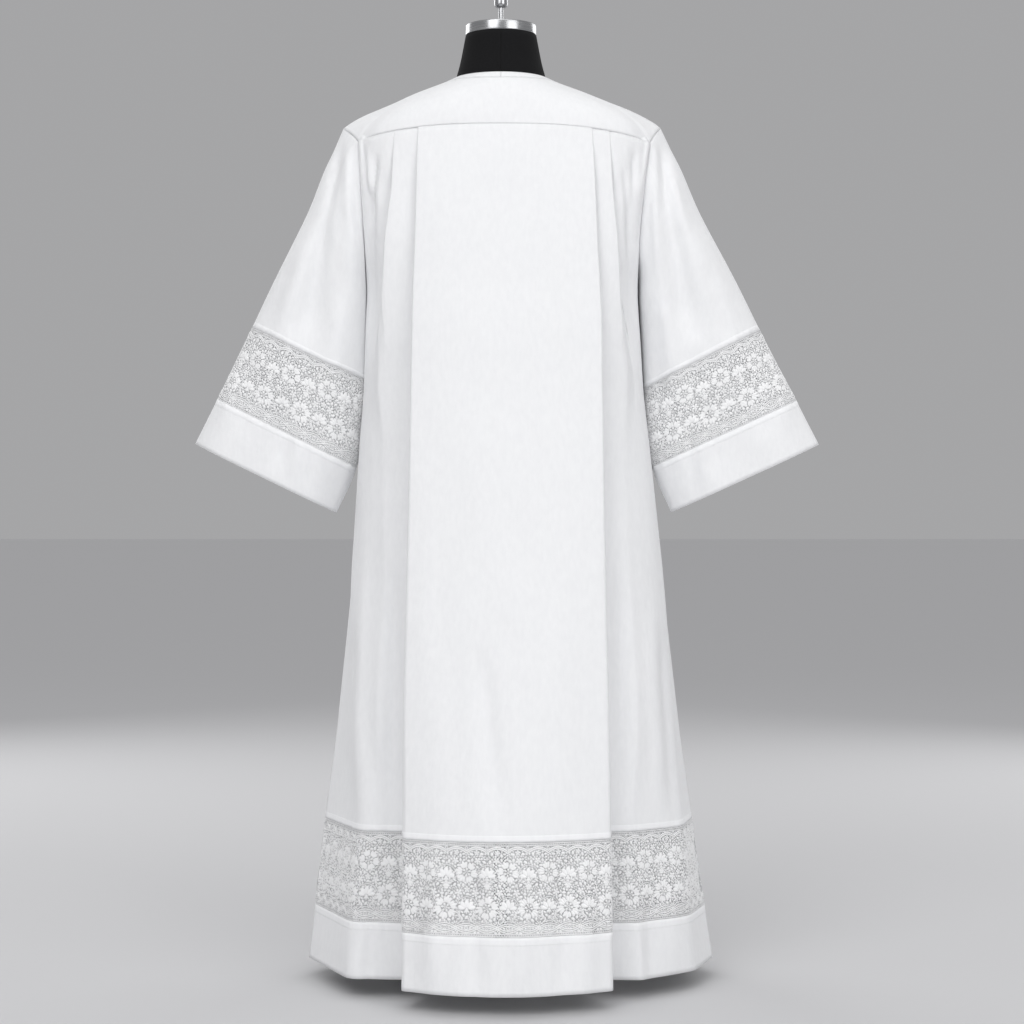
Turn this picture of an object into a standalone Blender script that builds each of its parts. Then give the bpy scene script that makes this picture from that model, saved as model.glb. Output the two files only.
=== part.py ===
"""A white alb robe, pleated from a yoke and let in with lace, on a limbless dress form.

Metres, +Z up. The origin is on the floor, on the axis of the stand. The back of the robe faces -Y.
Heights in the tables are measured up from the hem edge, which hangs HEM above the floor.
"""
import math

import bmesh
import bpy
from mathutils import Vector

# Sizes of the whole robe.
HEM = 0.030
WALL = 0.0016
SEAM = 0.0003
YOKE_GAP = 0.0006
SPLIT = 0.0003
BACK = -1.0
FRONT = 1.0
FRONT_DEPTH = 0.96

# Heights of the seams that run round the robe.
BACK_SEAM = 1.3315
FRONT_SEAM = 1.283
SEAM_DROP = 0.0205
SEAM_DROP_WIDTH = 0.2325
SEAM_DROP_POWER = 2.6
LEVEL_BELOW = 1.203
LACE_TOP = 0.226
LACE_BOTTOM = 0.087

# The sections of the robe below the yoke, one row for each height. Widths go out from the axis on the
# left and the right, depths go out from the plane of the side seams.
SECTION_COLUMNS = ("height", "centre", "end", "panel_depth", "overlap", "drop", "radius")
SECTION_ROWS = (
    (1.3315, .1100, .0500, .1035, .020, .0044, .0020),
    (1.2430, .1300, .0580, .1210, .020, .0048, .0022),
    (1.1430, .1480, .0460, .1370, .018, .0056, .0026),
    (1.0730, .1590, .0000, .1460, .016, .0080, .0030),
    (1.0030, .1700, .0000, .1560, .013, .0115, .0035),
    (0.9300, .1790, .0000, .1640, .010, .0170, .0040),
    (0.8150, .1960, .0000, .1780, .006, .0250, .0050),
    (0.6530, .2190, .0000, .1980, .002, .0340, .0070),
    (0.3890, .2600, .0000, .2300, -.002, .0480, .0090),
    (0.2300, .2850, .0000, .2470, -.004, .0570, .0100),
    (0.0000, .3100, .0000, .2670, -.008, .0630, .0120),
)
SIDE_COLUMNS = (
    "height", "side", "panel", "pleat", "pleat_depth", "pleat_overlap", "pleat_drop",
    "corner_depth", "corner_radius", "corner_in",
)
SIDE_ROWS = {
    "left": (
        (1.3315, .2275, .1300, .168, .0905, .012, .0044, .050, .026, .026),
        (1.2430, .2225, .1320, .172, .1070, .012, .0048, .058, .034, .034),
        (1.1430, .2175, .1340, .183, .1150, .004, .0075, .046, .050, .050),
        (1.0730, .2155, .1365, .187, .1140, -.004, .0235, .030, .066, .066),
        (1.0030, .2170, .1380, .191, .1130, -.012, .0260, .032, .070, .070),
        (0.9300, .2190, .1390, .194, .1080, -.018, .0230, .034, .074, .074),
        (0.8150, .2270, .1405, .186, .1150, -.026, .0125, .036, .078, .078),
        (0.6530, .2375, .1430, .185, .1300, -.028, .0050, .046, .080, .081),
        (0.3890, .2630, .1480, .197, .1500, -.021, -.0068, .092, .050, .077),
        (0.2300, .2835, .1480, .188, .1620, -.012, -.0188, .128, .032, .088),
        (0.0000, .3100, .1485, .197, .1760, -.016, -.0235, .145, .030, .096),
    ),
    "right": (
        (1.3315, .2380, .1440, .172, .0905, .012, .0044, .050, .026, .026),
        (1.2430, .2285, .1480, .176, .1070, .012, .0048, .058, .034, .034),
        (1.1430, .2205, .1515, .184, .1150, .004, .0075, .046, .050, .050),
        (1.0730, .2190, .1550, .188, .1140, -.004, .0235, .030, .066, .066),
        (1.0030, .2225, .1575, .193, .1130, -.012, .0260, .032, .070, .070),
        (0.9300, .2270, .1580, .200, .1080, -.018, .0230, .034, .074, .074),
        (0.8150, .2390, .1595, .197, .1150, -.026, .0125, .036, .078, .078),
        (0.6530, .2560, .1615, .203, .1300, -.030, .0070, .040, .085, .085),
        (0.3890, .2860, .1660, .218, .1500, -.031, .0037, .062, .070, .081),
        (0.2300, .3080, .1680, .210, .1630, -.042, .0046, .074, .055, .073),
        (0.0000, .3420, .1700, .227, .1820, -.051, .0126, .080, .050, .081),
    ),
}
BODY_LEVELS = (1.29, 1.243, 1.19, 1.143, 1.108, 1.085, 1.073, 1.003, .930, .815, .653, .52, .389)
ARMHOLE_LEVELS = (1.29, 1.243, 1.19, 1.143, 1.108, 1.085)
UNDERARM = 1.073
SIDE_LEAN = 0.0004
SIDE_LEAN_OVER = 0.42
LACE_ROWS = 3
BAND_ROWS = 2

# How many points each bend and each straight of a section gets.
BEND_POINTS = {"panel edge": 4, "under fold": 4, "pleat edge": 3, "pleat fold": 3, "corner": 5}
BODY_STRAIGHTS = {"panel": 3, "return": 0, "under": 0}
TRIM_STRAIGHTS = {"panel": 3, "return": 2, "under": 1}
WRONG_TURN = math.radians(30.0)
EVEN_FROM = 1.085
EVEN_TO = 0.930
EVEN_SHARE = 0.85

# The yoke, from the neck ring to the armholes and the seam. Angles are from the shoulder line to the centre.
NECK_RADIUS = 0.0765
NECK_HEIGHT = 1.419
TIP = {"left": (0.2553, 1.341), "right": (0.2582, 1.342)}
YOKE_ANGLES = (0.0, 8.0, 17.0, 28.0, 40.0, 52.0, 64.0, 77.0, 90.0)
YOKE_SEAM_SHARES = (1.0, .87, .73, .585, .40, .20, 0.0)
YOKE_ARMHOLE = {"depth": 0.62, "height": 0.48, "width": 0.55}
YOKE_ROWS = (0.30, 0.55, 0.75, 1.0)
YOKE_START_FALL = 0.40
YOKE_BACK_FALL = 0.75
YOKE_SEAM_REACH = 0.17
YOKE_ARM_FALL = 0.80
YOKE_SEAM_FALL = 0.20
YOKE_SEAM_PULL = 0.80
EDGE_WIDTH = 0.945
EDGE_POWER = 2.6
QUARTER = len(YOKE_ANGLES) - 1
NECKBAND = 0.012
V_DEPTH = 0.110
V_START = 25.0
V_POWER = 1.25

# The sleeves, one row for each station: the outer edge, the edge beside the robe, and half the thickness.
SLEEVE_COLUMNS = ("name", "outer_x", "outer_h", "inner_x", "inner_h", "half")
SLEEVE_ROWS = {
    "left": (
        ("cap", .2770, 1.2940, .2190, 1.0580, .066),
        ("upper", .3200, 1.1990, .2195, 1.0280, .070),
        ("middle", .3600, 1.1100, .2205, 0.9880, .068),
        ("lace top", .4020, 1.0190, .2225, 0.9320, .064),
        ("lace bottom", .4575, 0.9035, .2345, 0.7936, .060),
        ("cuff edge", .4940, 0.8310, .2660, 0.7200, .058),
    ),
    "right": (
        ("cap", .2832, 1.2940, .2225, 1.0580, .066),
        ("upper", .3293, 1.1990, .2245, 1.0280, .070),
        ("middle", .3720, 1.1100, .2275, 0.9880, .068),
        ("lace top", .4185, 1.0140, .2310, 0.9205, .064),
        ("lace bottom", .4770, 0.9010, .2445, 0.7940, .060),
        ("cuff edge", .5140, 0.8300, .2755, 0.7210, .058),
    ),
}
SLEEVE_CLEAR = 0.0014
UNDERARM_CLEAR = 0.0023
SLEEVE_ROUND = 0.85
SLEEVE_WAVE = 0.0035
SLEEVE_WAVES = 3.0
SIGN = {"left": -1.0, "right": 1.0}

# Gaps cut through the lace.
GAP_SIZE = 0.0065
GAP_MOST_OF_CELL = 0.5
GAP_LEAST_CELL = 0.013
GAP_INSET = 0.1
GAP_CORNER = 0.70

# The dress form and its stand.
FORM_CLEAR_SHOULDER = 0.0014
FORM_CLEAR_BACK = 0.0050
FORM_CLEAR_FRONT = 0.0080
FORM_YOKE_ROWS = (0.30, 0.55, 0.75)
FORM_NECK = ((1.4913, 0.0573), (1.468, 0.0617), (1.445, 0.0664), (1.430, 0.0705))
FORM_COLUMNS = ("height", "half_width", "back", "front")
FORM_ROWS = (
    (1.300, 0.196, 0.093, 0.092),
    (1.220, 0.178, 0.097, 0.104),
    (1.130, 0.165, 0.098, 0.112),
    (1.000, 0.140, 0.090, 0.100),
    (0.930, 0.131, 0.086, 0.092),
    (0.800, 0.160, 0.104, 0.098),
    (0.720, 0.172, 0.110, 0.103),
    (0.640, 0.168, 0.106, 0.100),
    (0.620, 0.158, 0.098, 0.093),
)
FORM_POWER = 2.4
FORM_CLEAR_POWER = 0.25
FORM_CLEAR_FADE = 4.0
FORM_SLOPE_STEP = 0.05
CAP_RADIUS = 0.0573
CAP_HEIGHTS = (1.4916, 1.5077)
CAP_EDGE = 0.001
ROD_RADIUS = 0.0042
ROD_TOP = 1.537
KNOB_RADIUS = 0.011
KNOB_TOP = 1.571
KNOB_ROUND = 0.0045
KNOB_EDGE = 0.002
POLE_RADIUS = 0.0125
BASE_RADIUS = 0.165
BASE_HEIGHT = 0.010
BASE_EDGE = 0.002

SHARP_FROM = math.radians(40.0)
COTTON = ("white cotton", (0.86, 0.87, 0.89), 0.85, 0.0)
LACE = ("white lace", (0.90, 0.90, 0.91), 0.80, 0.0)
JERSEY = ("black jersey", (0.012, 0.012, 0.013), 0.90, 0.0)
STEEL = ("brushed steel", (0.62, 0.63, 0.65), 0.30, 1.0)
BLACK_METAL = ("black metal", (0.02, 0.02, 0.022), 0.45, 0.6)


def clear_scene():
    for item in list(bpy.data.objects):
        bpy.data.objects.remove(item, do_unlink=True)


def material(kind):
    name, colour, roughness, metallic = kind
    found = bpy.data.materials.get(name)
    if found:
        return found
    made = bpy.data.materials.new(name)
    made.use_nodes = True
    shader = made.node_tree.nodes["Principled BSDF"]
    shader.inputs["Base Color"].default_value = (*colour, 1.0)
    shader.inputs["Roughness"].default_value = roughness
    shader.inputs["Metallic"].default_value = metallic
    made.diffuse_color = (*colour, 1.0)
    return made


def place(name, bm, kind, collection):
    mesh = bpy.data.meshes.new(name)
    bm.to_mesh(mesh)
    bm.free()
    item = bpy.data.objects.new(name, mesh)
    mesh.materials.append(material(kind))
    collection.objects.link(item)
    mesh.shade_smooth()
    mesh.set_sharp_from_angle(angle=SHARP_FROM)
    return item


def cloth(name, rows, kind, collection, closed=False, gaps=False):
    """A wall of cloth through rows of points, all of the same length."""
    bm = bmesh.new()
    grid = [[bm.verts.new(point) for point in row] for row in rows]
    cells = []
    count = len(rows[0])
    for upper, lower in zip(grid, grid[1:]):
        for i in range(count if closed else count - 1):
            j = (i + 1) % count
            cells.append(bm.faces.new((upper[i], lower[i], lower[j], upper[j])))
    if gaps:
        cut_gaps(bm, cells, count - 1)
    bmesh.ops.recalc_face_normals(bm, faces=bm.faces)
    item = place(name, bm, kind, collection)
    wall = item.modifiers.new("wall", "SOLIDIFY")
    wall.thickness = WALL
    wall.offset = 0.0
    return item


def cut_gaps(bm, cells, columns):
    """Opens a small gap in every other cell that is wide enough for one."""
    chosen = []
    for index, cell in enumerate(cells):
        row, column = divmod(index, columns)
        widths = [edge.calc_length() for edge in cell.edges]
        if (row + column) % 2 == 0 and min(widths) > GAP_LEAST_CELL:
            chosen.append(cell)
    for cell in chosen:
        centre = cell.calc_center_median()
        corners = [vert.co.copy() for vert in cell.verts]
        across = (corners[0] + corners[1] - corners[2] - corners[3]).length / 2.0
        along = (corners[0] + corners[3] - corners[1] - corners[2]).length / 2.0
        side = (corners[2] + corners[3] - corners[0] - corners[1]).normalized()
        down = (corners[1] + corners[2] - corners[0] - corners[3]).normalized()
        size = min(GAP_SIZE, GAP_MOST_OF_CELL * across, GAP_MOST_OF_CELL * along)
        bmesh.ops.inset_individual(bm, faces=[cell], thickness=size * GAP_INSET)
        spots = (-side - down, -side + down, side + down, side - down)
        inner = sorted(cell.verts, key=lambda v: min(range(4), key=lambda k: (v.co - corners[k]).length))
        for vert, spot in zip(inner, spots):
            vert.co = centre + spot * size * GAP_CORNER / math.sqrt(2.0)
    bmesh.ops.delete(bm, geom=chosen, context="FACES")


def table(columns, rows):
    return [dict(zip(columns, row)) for row in rows]


WHOLE = table(SECTION_COLUMNS, SECTION_ROWS)
SECTIONS = {
    side: [{**whole, **half} for whole, half in zip(WHOLE, table(SIDE_COLUMNS, rows))]
    for side, rows in SIDE_ROWS.items()
}
SLEEVES = {side: table(SLEEVE_COLUMNS, rows) for side, rows in SLEEVE_ROWS.items()}


def section_at(level, side):
    """Every column of the section tables at a height, on smooth curves through their rows."""
    rows = SECTIONS[side]
    if level >= rows[0]["height"]:
        return dict(rows[0], height=level)
    index = max(i for i, row in enumerate(rows[:-1]) if row["height"] >= level)
    high, low = rows[index], rows[index + 1]
    above = rows[max(index - 1, 0)]
    below = rows[min(index + 2, len(rows) - 1)]
    span = low["height"] - high["height"]
    share = (level - high["height"]) / span
    found = {"height": level}
    for name in SECTION_COLUMNS[1:] + SIDE_COLUMNS[1:]:
        start = slope(above, high, low, name) * span
        finish = slope(high, low, below, name) * span
        found[name] = hermite(high[name], start, low[name], finish, share)
    found["end"] = max(found["end"], 0.0)
    if level <= UNDERARM:
        found["end"] = SIDE_LEAN * min(1.0, (UNDERARM - level) / SIDE_LEAN_OVER)
    return found


def slope(before, middle, after, name):
    """The gentler of the two slopes beside a row, and none at a turning point."""
    pairs = ((before, middle), (middle, after))
    steps = [(b[name] - a[name], b["height"] - a["height"]) for a, b in pairs]
    slopes = [rise / run for rise, run in steps if run]
    if len(slopes) < 2:
        return slopes[0]
    if slopes[0] * slopes[1] <= 0.0:
        return 0.0
    return min(slopes, key=abs)


def hermite(start, start_slope, finish, finish_slope, share):
    s2, s3 = share ** 2, share ** 3
    return (
        start * (2 * s3 - 3 * s2 + 1)
        + start_slope * (s3 - 2 * s2 + share)
        + finish * (3 * s2 - 2 * s3)
        + finish_slope * (s3 - s2)
    )


def half_section(section, straights):
    """Points from the centre to the side seam: (distance out from the axis, depth)."""
    radius = section["radius"]
    panel_edge = (section["panel"] - radius, section["panel_depth"] - radius)
    under_fold = (panel_edge[0] - section["overlap"], panel_edge[1] - section["drop"])
    pleat_edge = (section["pleat"] - radius, section["pleat_depth"] - radius)
    pleat_fold = (pleat_edge[0] - section["pleat_overlap"], pleat_edge[1] - section["pleat_drop"])
    corner = (section["side"] - section["corner_in"], section["corner_depth"])
    bends = [((0.0, section["centre"]), 0.0, 1)]
    fall = section["centre"] - section["panel_depth"]
    for i in range(1, straights["panel"] + 1):
        share = i / (straights["panel"] + 1.0)
        bends.append(((panel_edge[0] * share, section["centre"] - fall * share ** 2), 0.0, 1))
    bends += [
        (panel_edge, radius, BEND_POINTS["panel edge"]),
        (under_fold, -radius, BEND_POINTS["under fold"]),
        (pleat_edge, radius, BEND_POINTS["pleat edge"]),
        (pleat_fold, -radius, BEND_POINTS["pleat fold"]),
        (corner, section["corner_radius"], BEND_POINTS["corner"]),
        ((section["side"], section["end"] + SEAM / 2.0), 0.0, 1),
    ]
    last = len(bends) - 1
    extra = {last - 5: straights["return"], last - 4: straights["under"]}
    points = belt(bends, extra)
    tail = sum(BEND_POINTS[name] for name in ("pleat edge", "pleat fold", "corner")) + 1 + straights["under"]
    share = max(0.0, min(1.0, (EVEN_FROM - section["height"]) / (EVEN_FROM - EVEN_TO)))
    return points[:-tail] + spread(points[-tail - 1:], EVEN_SHARE * share)[1:]


def spread(points, share):
    """The same line with its points moved along it, by a share, towards even spacing."""
    lengths = [0.0]
    for first, second in zip(points, points[1:]):
        lengths.append(lengths[-1] + math.dist(first, second))
    moved = []
    step = lengths[-1] / (len(points) - 1)
    for i, length in enumerate(lengths):
        spot = length + (i * step - length) * share
        k = max(j for j in range(len(points) - 1) if lengths[j] <= spot or j == 0)
        part = (spot - lengths[k]) / (lengths[k + 1] - lengths[k])
        moved.append(tuple(a + (b - a) * part for a, b in zip(points[k], points[k + 1])))
    return moved


def belt(bends, extra):
    """The line of a belt drawn over a row of round bends, with points on each bend and each straight.

    A bend is its centre, its radius and its number of points. The radius is above zero where the belt
    turns right over it, below zero where it turns left, and zero at a plain point.
    """
    headings = []
    for (first, first_radius, _), (second, second_radius, _) in zip(bends, bends[1:]):
        dx, dy = second[0] - first[0], second[1] - first[1]
        lean = (second_radius - first_radius) / math.hypot(dx, dy)
        headings.append(math.atan2(dy, dx) + math.asin(max(-1.0, min(1.0, lean))))
    points = []
    for i, (centre, radius, count) in enumerate(bends):
        arriving = headings[max(i - 1, 0)]
        leaving = headings[min(i, len(headings) - 1)]
        turn = (leaving - arriving + math.pi) % math.tau - math.pi
        if radius > 0.0 and turn > WRONG_TURN:
            turn -= math.tau
        if radius < 0.0 and turn < -WRONG_TURN:
            turn += math.tau
        bend = []
        for k in range(count):
            heading = arriving + turn * (k / (count - 1.0) if count > 1 else 0.0)
            bend.append((centre[0] - radius * math.sin(heading), centre[1] + radius * math.cos(heading)))
        if points and extra.get(i - 1):
            steps = extra[i - 1] + 1
            start = points[-1]
            for k in range(1, steps):
                share = k / steps
                points.append(tuple(a + (b - a) * share for a, b in zip(start, bend[0])))
        points += bend
    return points


def seam_drop(x):
    return SEAM_DROP * (abs(x) / SEAM_DROP_WIDTH) ** SEAM_DROP_POWER


def robe_point(level, x, depth, face):
    """A point of the robe in the world, from its place in a section."""
    share = max(0.0, min(1.0, (level - LEVEL_BELOW) / (BACK_SEAM - LEVEL_BELOW)))
    deep = depth * (FRONT_DEPTH if face > 0.0 else 1.0)
    return Vector((x, face * deep, HEM + level - seam_drop(x) * share))


def robe_row(level, face, straights):
    left = [(-x, depth) for x, depth in half_section(section_at(level, "left"), straights)]
    right = half_section(section_at(level, "right"), straights)
    line = left[:0:-1] + right
    return [robe_point(level, x, depth, face) for x, depth in line]


def side_end(level, side, face):
    """The edge of the back or front at a height: its armhole, or its side seam."""
    section = section_at(level, side)
    return robe_point(level, SIGN[side] * section["side"], section["end"] + SEAM / 2.0, face)


def body(name, face, collection):
    top = BACK_SEAM if face < 0.0 else FRONT_SEAM
    levels = [top] + [level for level in BODY_LEVELS if level < top] + [LACE_TOP + SEAM]
    rows = [robe_row(level, face, BODY_STRAIGHTS) for level in levels]
    cloth(name, rows, COTTON, collection)


def trim(name, face, top, bottom, count, kind, collection, gaps=False):
    levels = [top + (bottom - top) * i / count for i in range(count + 1)]
    rows = [robe_row(level, face, TRIM_STRAIGHTS) for level in levels]
    cloth(name, rows, kind, collection, gaps=gaps)


def yoke_outer(k, side, face):
    """Where column k of a quarter of the yoke ends, on the armhole or on the seam."""
    top = BACK_SEAM if face < 0.0 else FRONT_SEAM
    tip_x, tip_h = TIP[side]
    tip = Vector((SIGN[side] * tip_x, 0.0, HEM + tip_h))
    end = side_end(top, side, face) + Vector((0.0, 0.0, YOKE_GAP))
    if k == 0:
        return tip
    if k == 1:
        shares = (YOKE_ARMHOLE["width"], YOKE_ARMHOLE["depth"], YOKE_ARMHOLE["height"])
        return Vector([a + (b - a) * share for a, b, share in zip(tip, end, shares)])
    section = section_at(top, side)
    share = YOKE_SEAM_SHARES[k - 2]
    x = SIGN[side] * section["side"] * share
    depth = section["centre"] * (1.0 - (EDGE_WIDTH * share) ** EDGE_POWER) ** (1.0 / EDGE_POWER)
    if k == 2:
        depth = section["end"] + SEAM / 2.0
    return robe_point(top, x, depth, face) + Vector((0.0, 0.0, YOKE_GAP))


def yoke_column(index):
    """The curve of one column of the yoke, from the neck ring out. Column 0 is the right shoulder line."""
    quarter, step = divmod(index % (4 * QUARTER), QUARTER)
    side = "right" if quarter in (0, 3) else "left"
    face = BACK if quarter < 2 else FRONT
    k = step if quarter in (0, 2) else QUARTER - step
    angle = math.radians(YOKE_ANGLES[k])
    away = Vector((SIGN[side] * math.cos(angle), face * math.sin(angle), 0.0))
    start = away * NECK_RADIUS + Vector((0.0, 0.0, HEM + NECK_HEIGHT))
    finish = yoke_outer(k, side, face)
    length = (finish - start).length
    turn = math.sin(angle) ** 2
    start_fall = Vector((0.0, 0.0, -YOKE_START_FALL - YOKE_BACK_FALL * turn))
    start_slope = (away + start_fall).normalized() * length
    steep = min(1.0, k / 2.0)
    leave = away * (1.0 - steep + YOKE_SEAM_REACH * steep)
    finish_fall = Vector((0.0, 0.0, -YOKE_ARM_FALL - YOKE_SEAM_FALL * steep))
    finish_slope = (leave + finish_fall).normalized() * length * YOKE_SEAM_PULL
    return start, start_slope, finish, finish_slope, length, k, face


def yoke_point(index, reach):
    ends = yoke_column(index)[:4]
    return Vector([hermite(*values, reach) for values in zip(*ends)])


def neck_edge(index):
    """The share of a column at which the neck edge lies: a round back, and a V in front."""
    length, k, face = yoke_column(index)[4:]
    if face < 0.0 or YOKE_ANGLES[k] <= V_START:
        return 0.0
    share = (YOKE_ANGLES[k] - V_START) / (90.0 - V_START)
    return V_DEPTH * share ** V_POWER / length


def yoke_and_neckband(collection):
    ring = range(4 * QUARTER)
    band, panel = [[], []], [[] for _ in range(len(YOKE_ROWS) + 1)]
    for index in ring:
        length = yoke_column(index)[4]
        edge = neck_edge(index)
        band[0].append(yoke_point(index, edge))
        band[1].append(yoke_point(index, edge + NECKBAND / length))
        start = edge + (NECKBAND + SEAM) / length
        panel[0].append(yoke_point(index, start))
        for row, reach in enumerate(YOKE_ROWS):
            share = start + (1.0 - start) * (row + 1.0) / len(YOKE_ROWS)
            panel[row + 1].append(yoke_point(index, share if edge else reach))
    cloth("neckband", band, COTTON, collection, closed=True)
    cloth("yoke", panel, COTTON, collection, closed=True)


def armhole(side):
    """The sleeve's own edge round the armhole: tip, down the back, underarm, up the front."""
    points = []
    for face in (BACK, FRONT):
        top = BACK_SEAM if face < 0.0 else FRONT_SEAM
        levels = [level for level in ARMHOLE_LEVELS if level < top]
        run = [yoke_outer(1, side, face), yoke_outer(2, side, face)]
        run += [side_end(level, side, face) for level in levels]
        points.append(run)
    low = side_end(UNDERARM, side, BACK)
    low.y = 0.0
    ring = [yoke_outer(0, side, BACK)] + points[0] + [low] + points[1][::-1]
    top = ring[0].z
    for point in ring:
        share = (top - point.z) / (top - low.z)
        point.x += SIGN[side] * (SLEEVE_CLEAR + (UNDERARM_CLEAR - SLEEVE_CLEAR) * share)
    return ring, len(points[0]) + 1


def sleeve_angles(side):
    ring, low = armhole(side)
    count = len(ring)
    back = [math.pi * i / low for i in range(low)]
    front = [math.pi + math.pi * i / (count - low) for i in range(count - low)]
    return back + front, low


def sleeve_ring(side, row, angles, wave):
    outer = Vector((SIGN[side] * row["outer_x"], 0.0, HEM + row["outer_h"]))
    inner = Vector((SIGN[side] * row["inner_x"], 0.0, HEM + row["inner_h"]))
    centre, half = (outer + inner) / 2.0, (outer - inner) / 2.0
    points = []
    for angle in angles:
        deep = math.copysign(abs(math.sin(angle)) ** SLEEVE_ROUND, math.sin(angle))
        ripple = wave * math.sin(angle) * math.cos(SLEEVE_WAVES * 2.0 * angle)
        points.append(centre + half * math.cos(angle) + Vector((0.0, -(deep * row["half"] + ripple), 0.0)))
    return points


def station(side, name):
    return next(row for row in SLEEVES[side] if row["name"] == name)


def between(first, second, share):
    return {key: first[key] + (second[key] - first[key]) * share for key in SLEEVE_COLUMNS[1:]}


def sleeve(side, collection):
    angles, low = sleeve_angles(side)
    ring = armhole(side)[0]
    rows = [ring]
    names = ("cap", "upper", "middle", "lace top")
    for index, name in enumerate(names):
        rows.append(sleeve_ring(side, station(side, name), angles, SLEEVE_WAVE * (index + 1) / len(names)))
    cloth("sleeve_" + side, rows, COTTON, collection, closed=True)
    top, bottom, cuff = (station(side, name) for name in ("lace top", "lace bottom", "cuff edge"))
    long = math.hypot(bottom["outer_x"] - top["outer_x"], bottom["outer_h"] - top["outer_h"])
    shares = [SEAM / long + (1.0 - 2.0 * SEAM / long) * i / LACE_ROWS for i in range(LACE_ROWS + 1)]
    rings = [sleeve_ring(side, between(top, bottom, share), angles, SLEEVE_WAVE) for share in shares]
    halves = {"back": slice(0, low + 1), "front": slice(low, None)}
    for half, span in halves.items():
        face = BACK if half == "back" else FRONT
        rows = [(points + points[:1])[span] for points in rings]
        for row in rows:
            row[0] = row[0] + Vector((0.0, face * SPLIT, 0.0))
            row[-1] = row[-1] + Vector((0.0, face * SPLIT, 0.0))
        cloth(f"sleeve_lace_{side}_{half}", rows, LACE, collection, gaps=True)
    shares = (0.0, 0.5, 1.0)
    rings = [sleeve_ring(side, between(bottom, cuff, share), angles, SLEEVE_WAVE) for share in shares]
    cloth("cuff_" + side, rings, COTTON, collection, closed=True)


def turned(name, profile, sides, kind, collection):
    """A solid of revolution about the axis, from (radius, z) pairs, bottom to top."""
    bm = bmesh.new()
    rings = []
    for radius, z in profile:
        spots = [math.tau * i / sides for i in range(sides)]
        rings.append([bm.verts.new((radius * math.cos(a), radius * math.sin(a), z)) for a in spots])
    loft(bm, rings)
    return place(name, bm, kind, collection)


def loft(bm, rings):
    """Closes a stack of rings, bottom to top, into one solid."""
    count = len(rings[0])
    for low, high in zip(rings, rings[1:]):
        for i in range(count):
            j = (i + 1) % count
            bm.faces.new((low[i], low[j], high[j], high[i]))
    bm.faces.new(rings[0][::-1])
    bm.faces.new(rings[-1])
    bmesh.ops.recalc_face_normals(bm, faces=bm.faces)


def form_ring(row, bm):
    ring = []
    for index in range(4 * QUARTER):
        quarter, step = divmod(index, QUARTER)
        k = step if quarter in (0, 2) else QUARTER - step
        angle = math.radians(YOKE_ANGLES[k])
        sign = 1.0 if quarter in (0, 3) else -1.0
        face = BACK if quarter < 2 else FRONT
        depth = row["back"] if face < 0.0 else row["front"]
        x = sign * row["half_width"] * math.cos(angle) ** (2.0 / FORM_POWER)
        y = face * depth * math.sin(angle) ** (2.0 / FORM_POWER)
        ring.append(bm.verts.new((x, y, HEM + row["height"])))
    return ring


def form_neck_ring(height, radius, bm):
    spots = [yoke_point(index, 0.0) for index in range(4 * QUARTER)]
    flat = [Vector((spot.x, spot.y, 0.0)).normalized() * radius for spot in spots]
    return [bm.verts.new((spot.x, spot.y, HEM + height)) for spot in flat]


def dress_form(collection):
    bm = bmesh.new()
    rings = [form_neck_ring(height, radius, bm) for height, radius in FORM_NECK]
    for row in range(len(FORM_YOKE_ROWS) + 2):
        ring = []
        for index in range(4 * QUARTER):
            length, k, face = yoke_column(index)[4:]
            reach = (0.0, (NECKBAND + SEAM) / length, *FORM_YOKE_ROWS)[row]
            turn = math.sin(math.radians(YOKE_ANGLES[k])) ** FORM_CLEAR_POWER
            spare = FORM_CLEAR_BACK if face < 0.0 else FORM_CLEAR_FRONT
            clear = FORM_CLEAR_SHOULDER
            clear += (spare - FORM_CLEAR_SHOULDER) * turn * min(1.0, reach * FORM_CLEAR_FADE)
            spot = yoke_point(index, reach)
            ahead = yoke_point(index, min(reach + FORM_SLOPE_STEP, 1.0))
            along = ahead - yoke_point(index, max(reach - FORM_SLOPE_STEP, 0.0))
            away = Vector((spot.x, spot.y, 0.0)).normalized()
            across = Vector((-away.y, away.x, 0.0))
            inward = along.cross(across).normalized()
            if inward.z > 0.0:
                inward.negate()
            ring.append(bm.verts.new(spot + inward * (clear + WALL / 2.0)))
        rings.append(ring)
    rings += [form_ring(row, bm) for row in table(FORM_COLUMNS, FORM_ROWS)]
    loft(bm, rings[::-1])
    place("form_torso", bm, JERSEY, collection)


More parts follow.
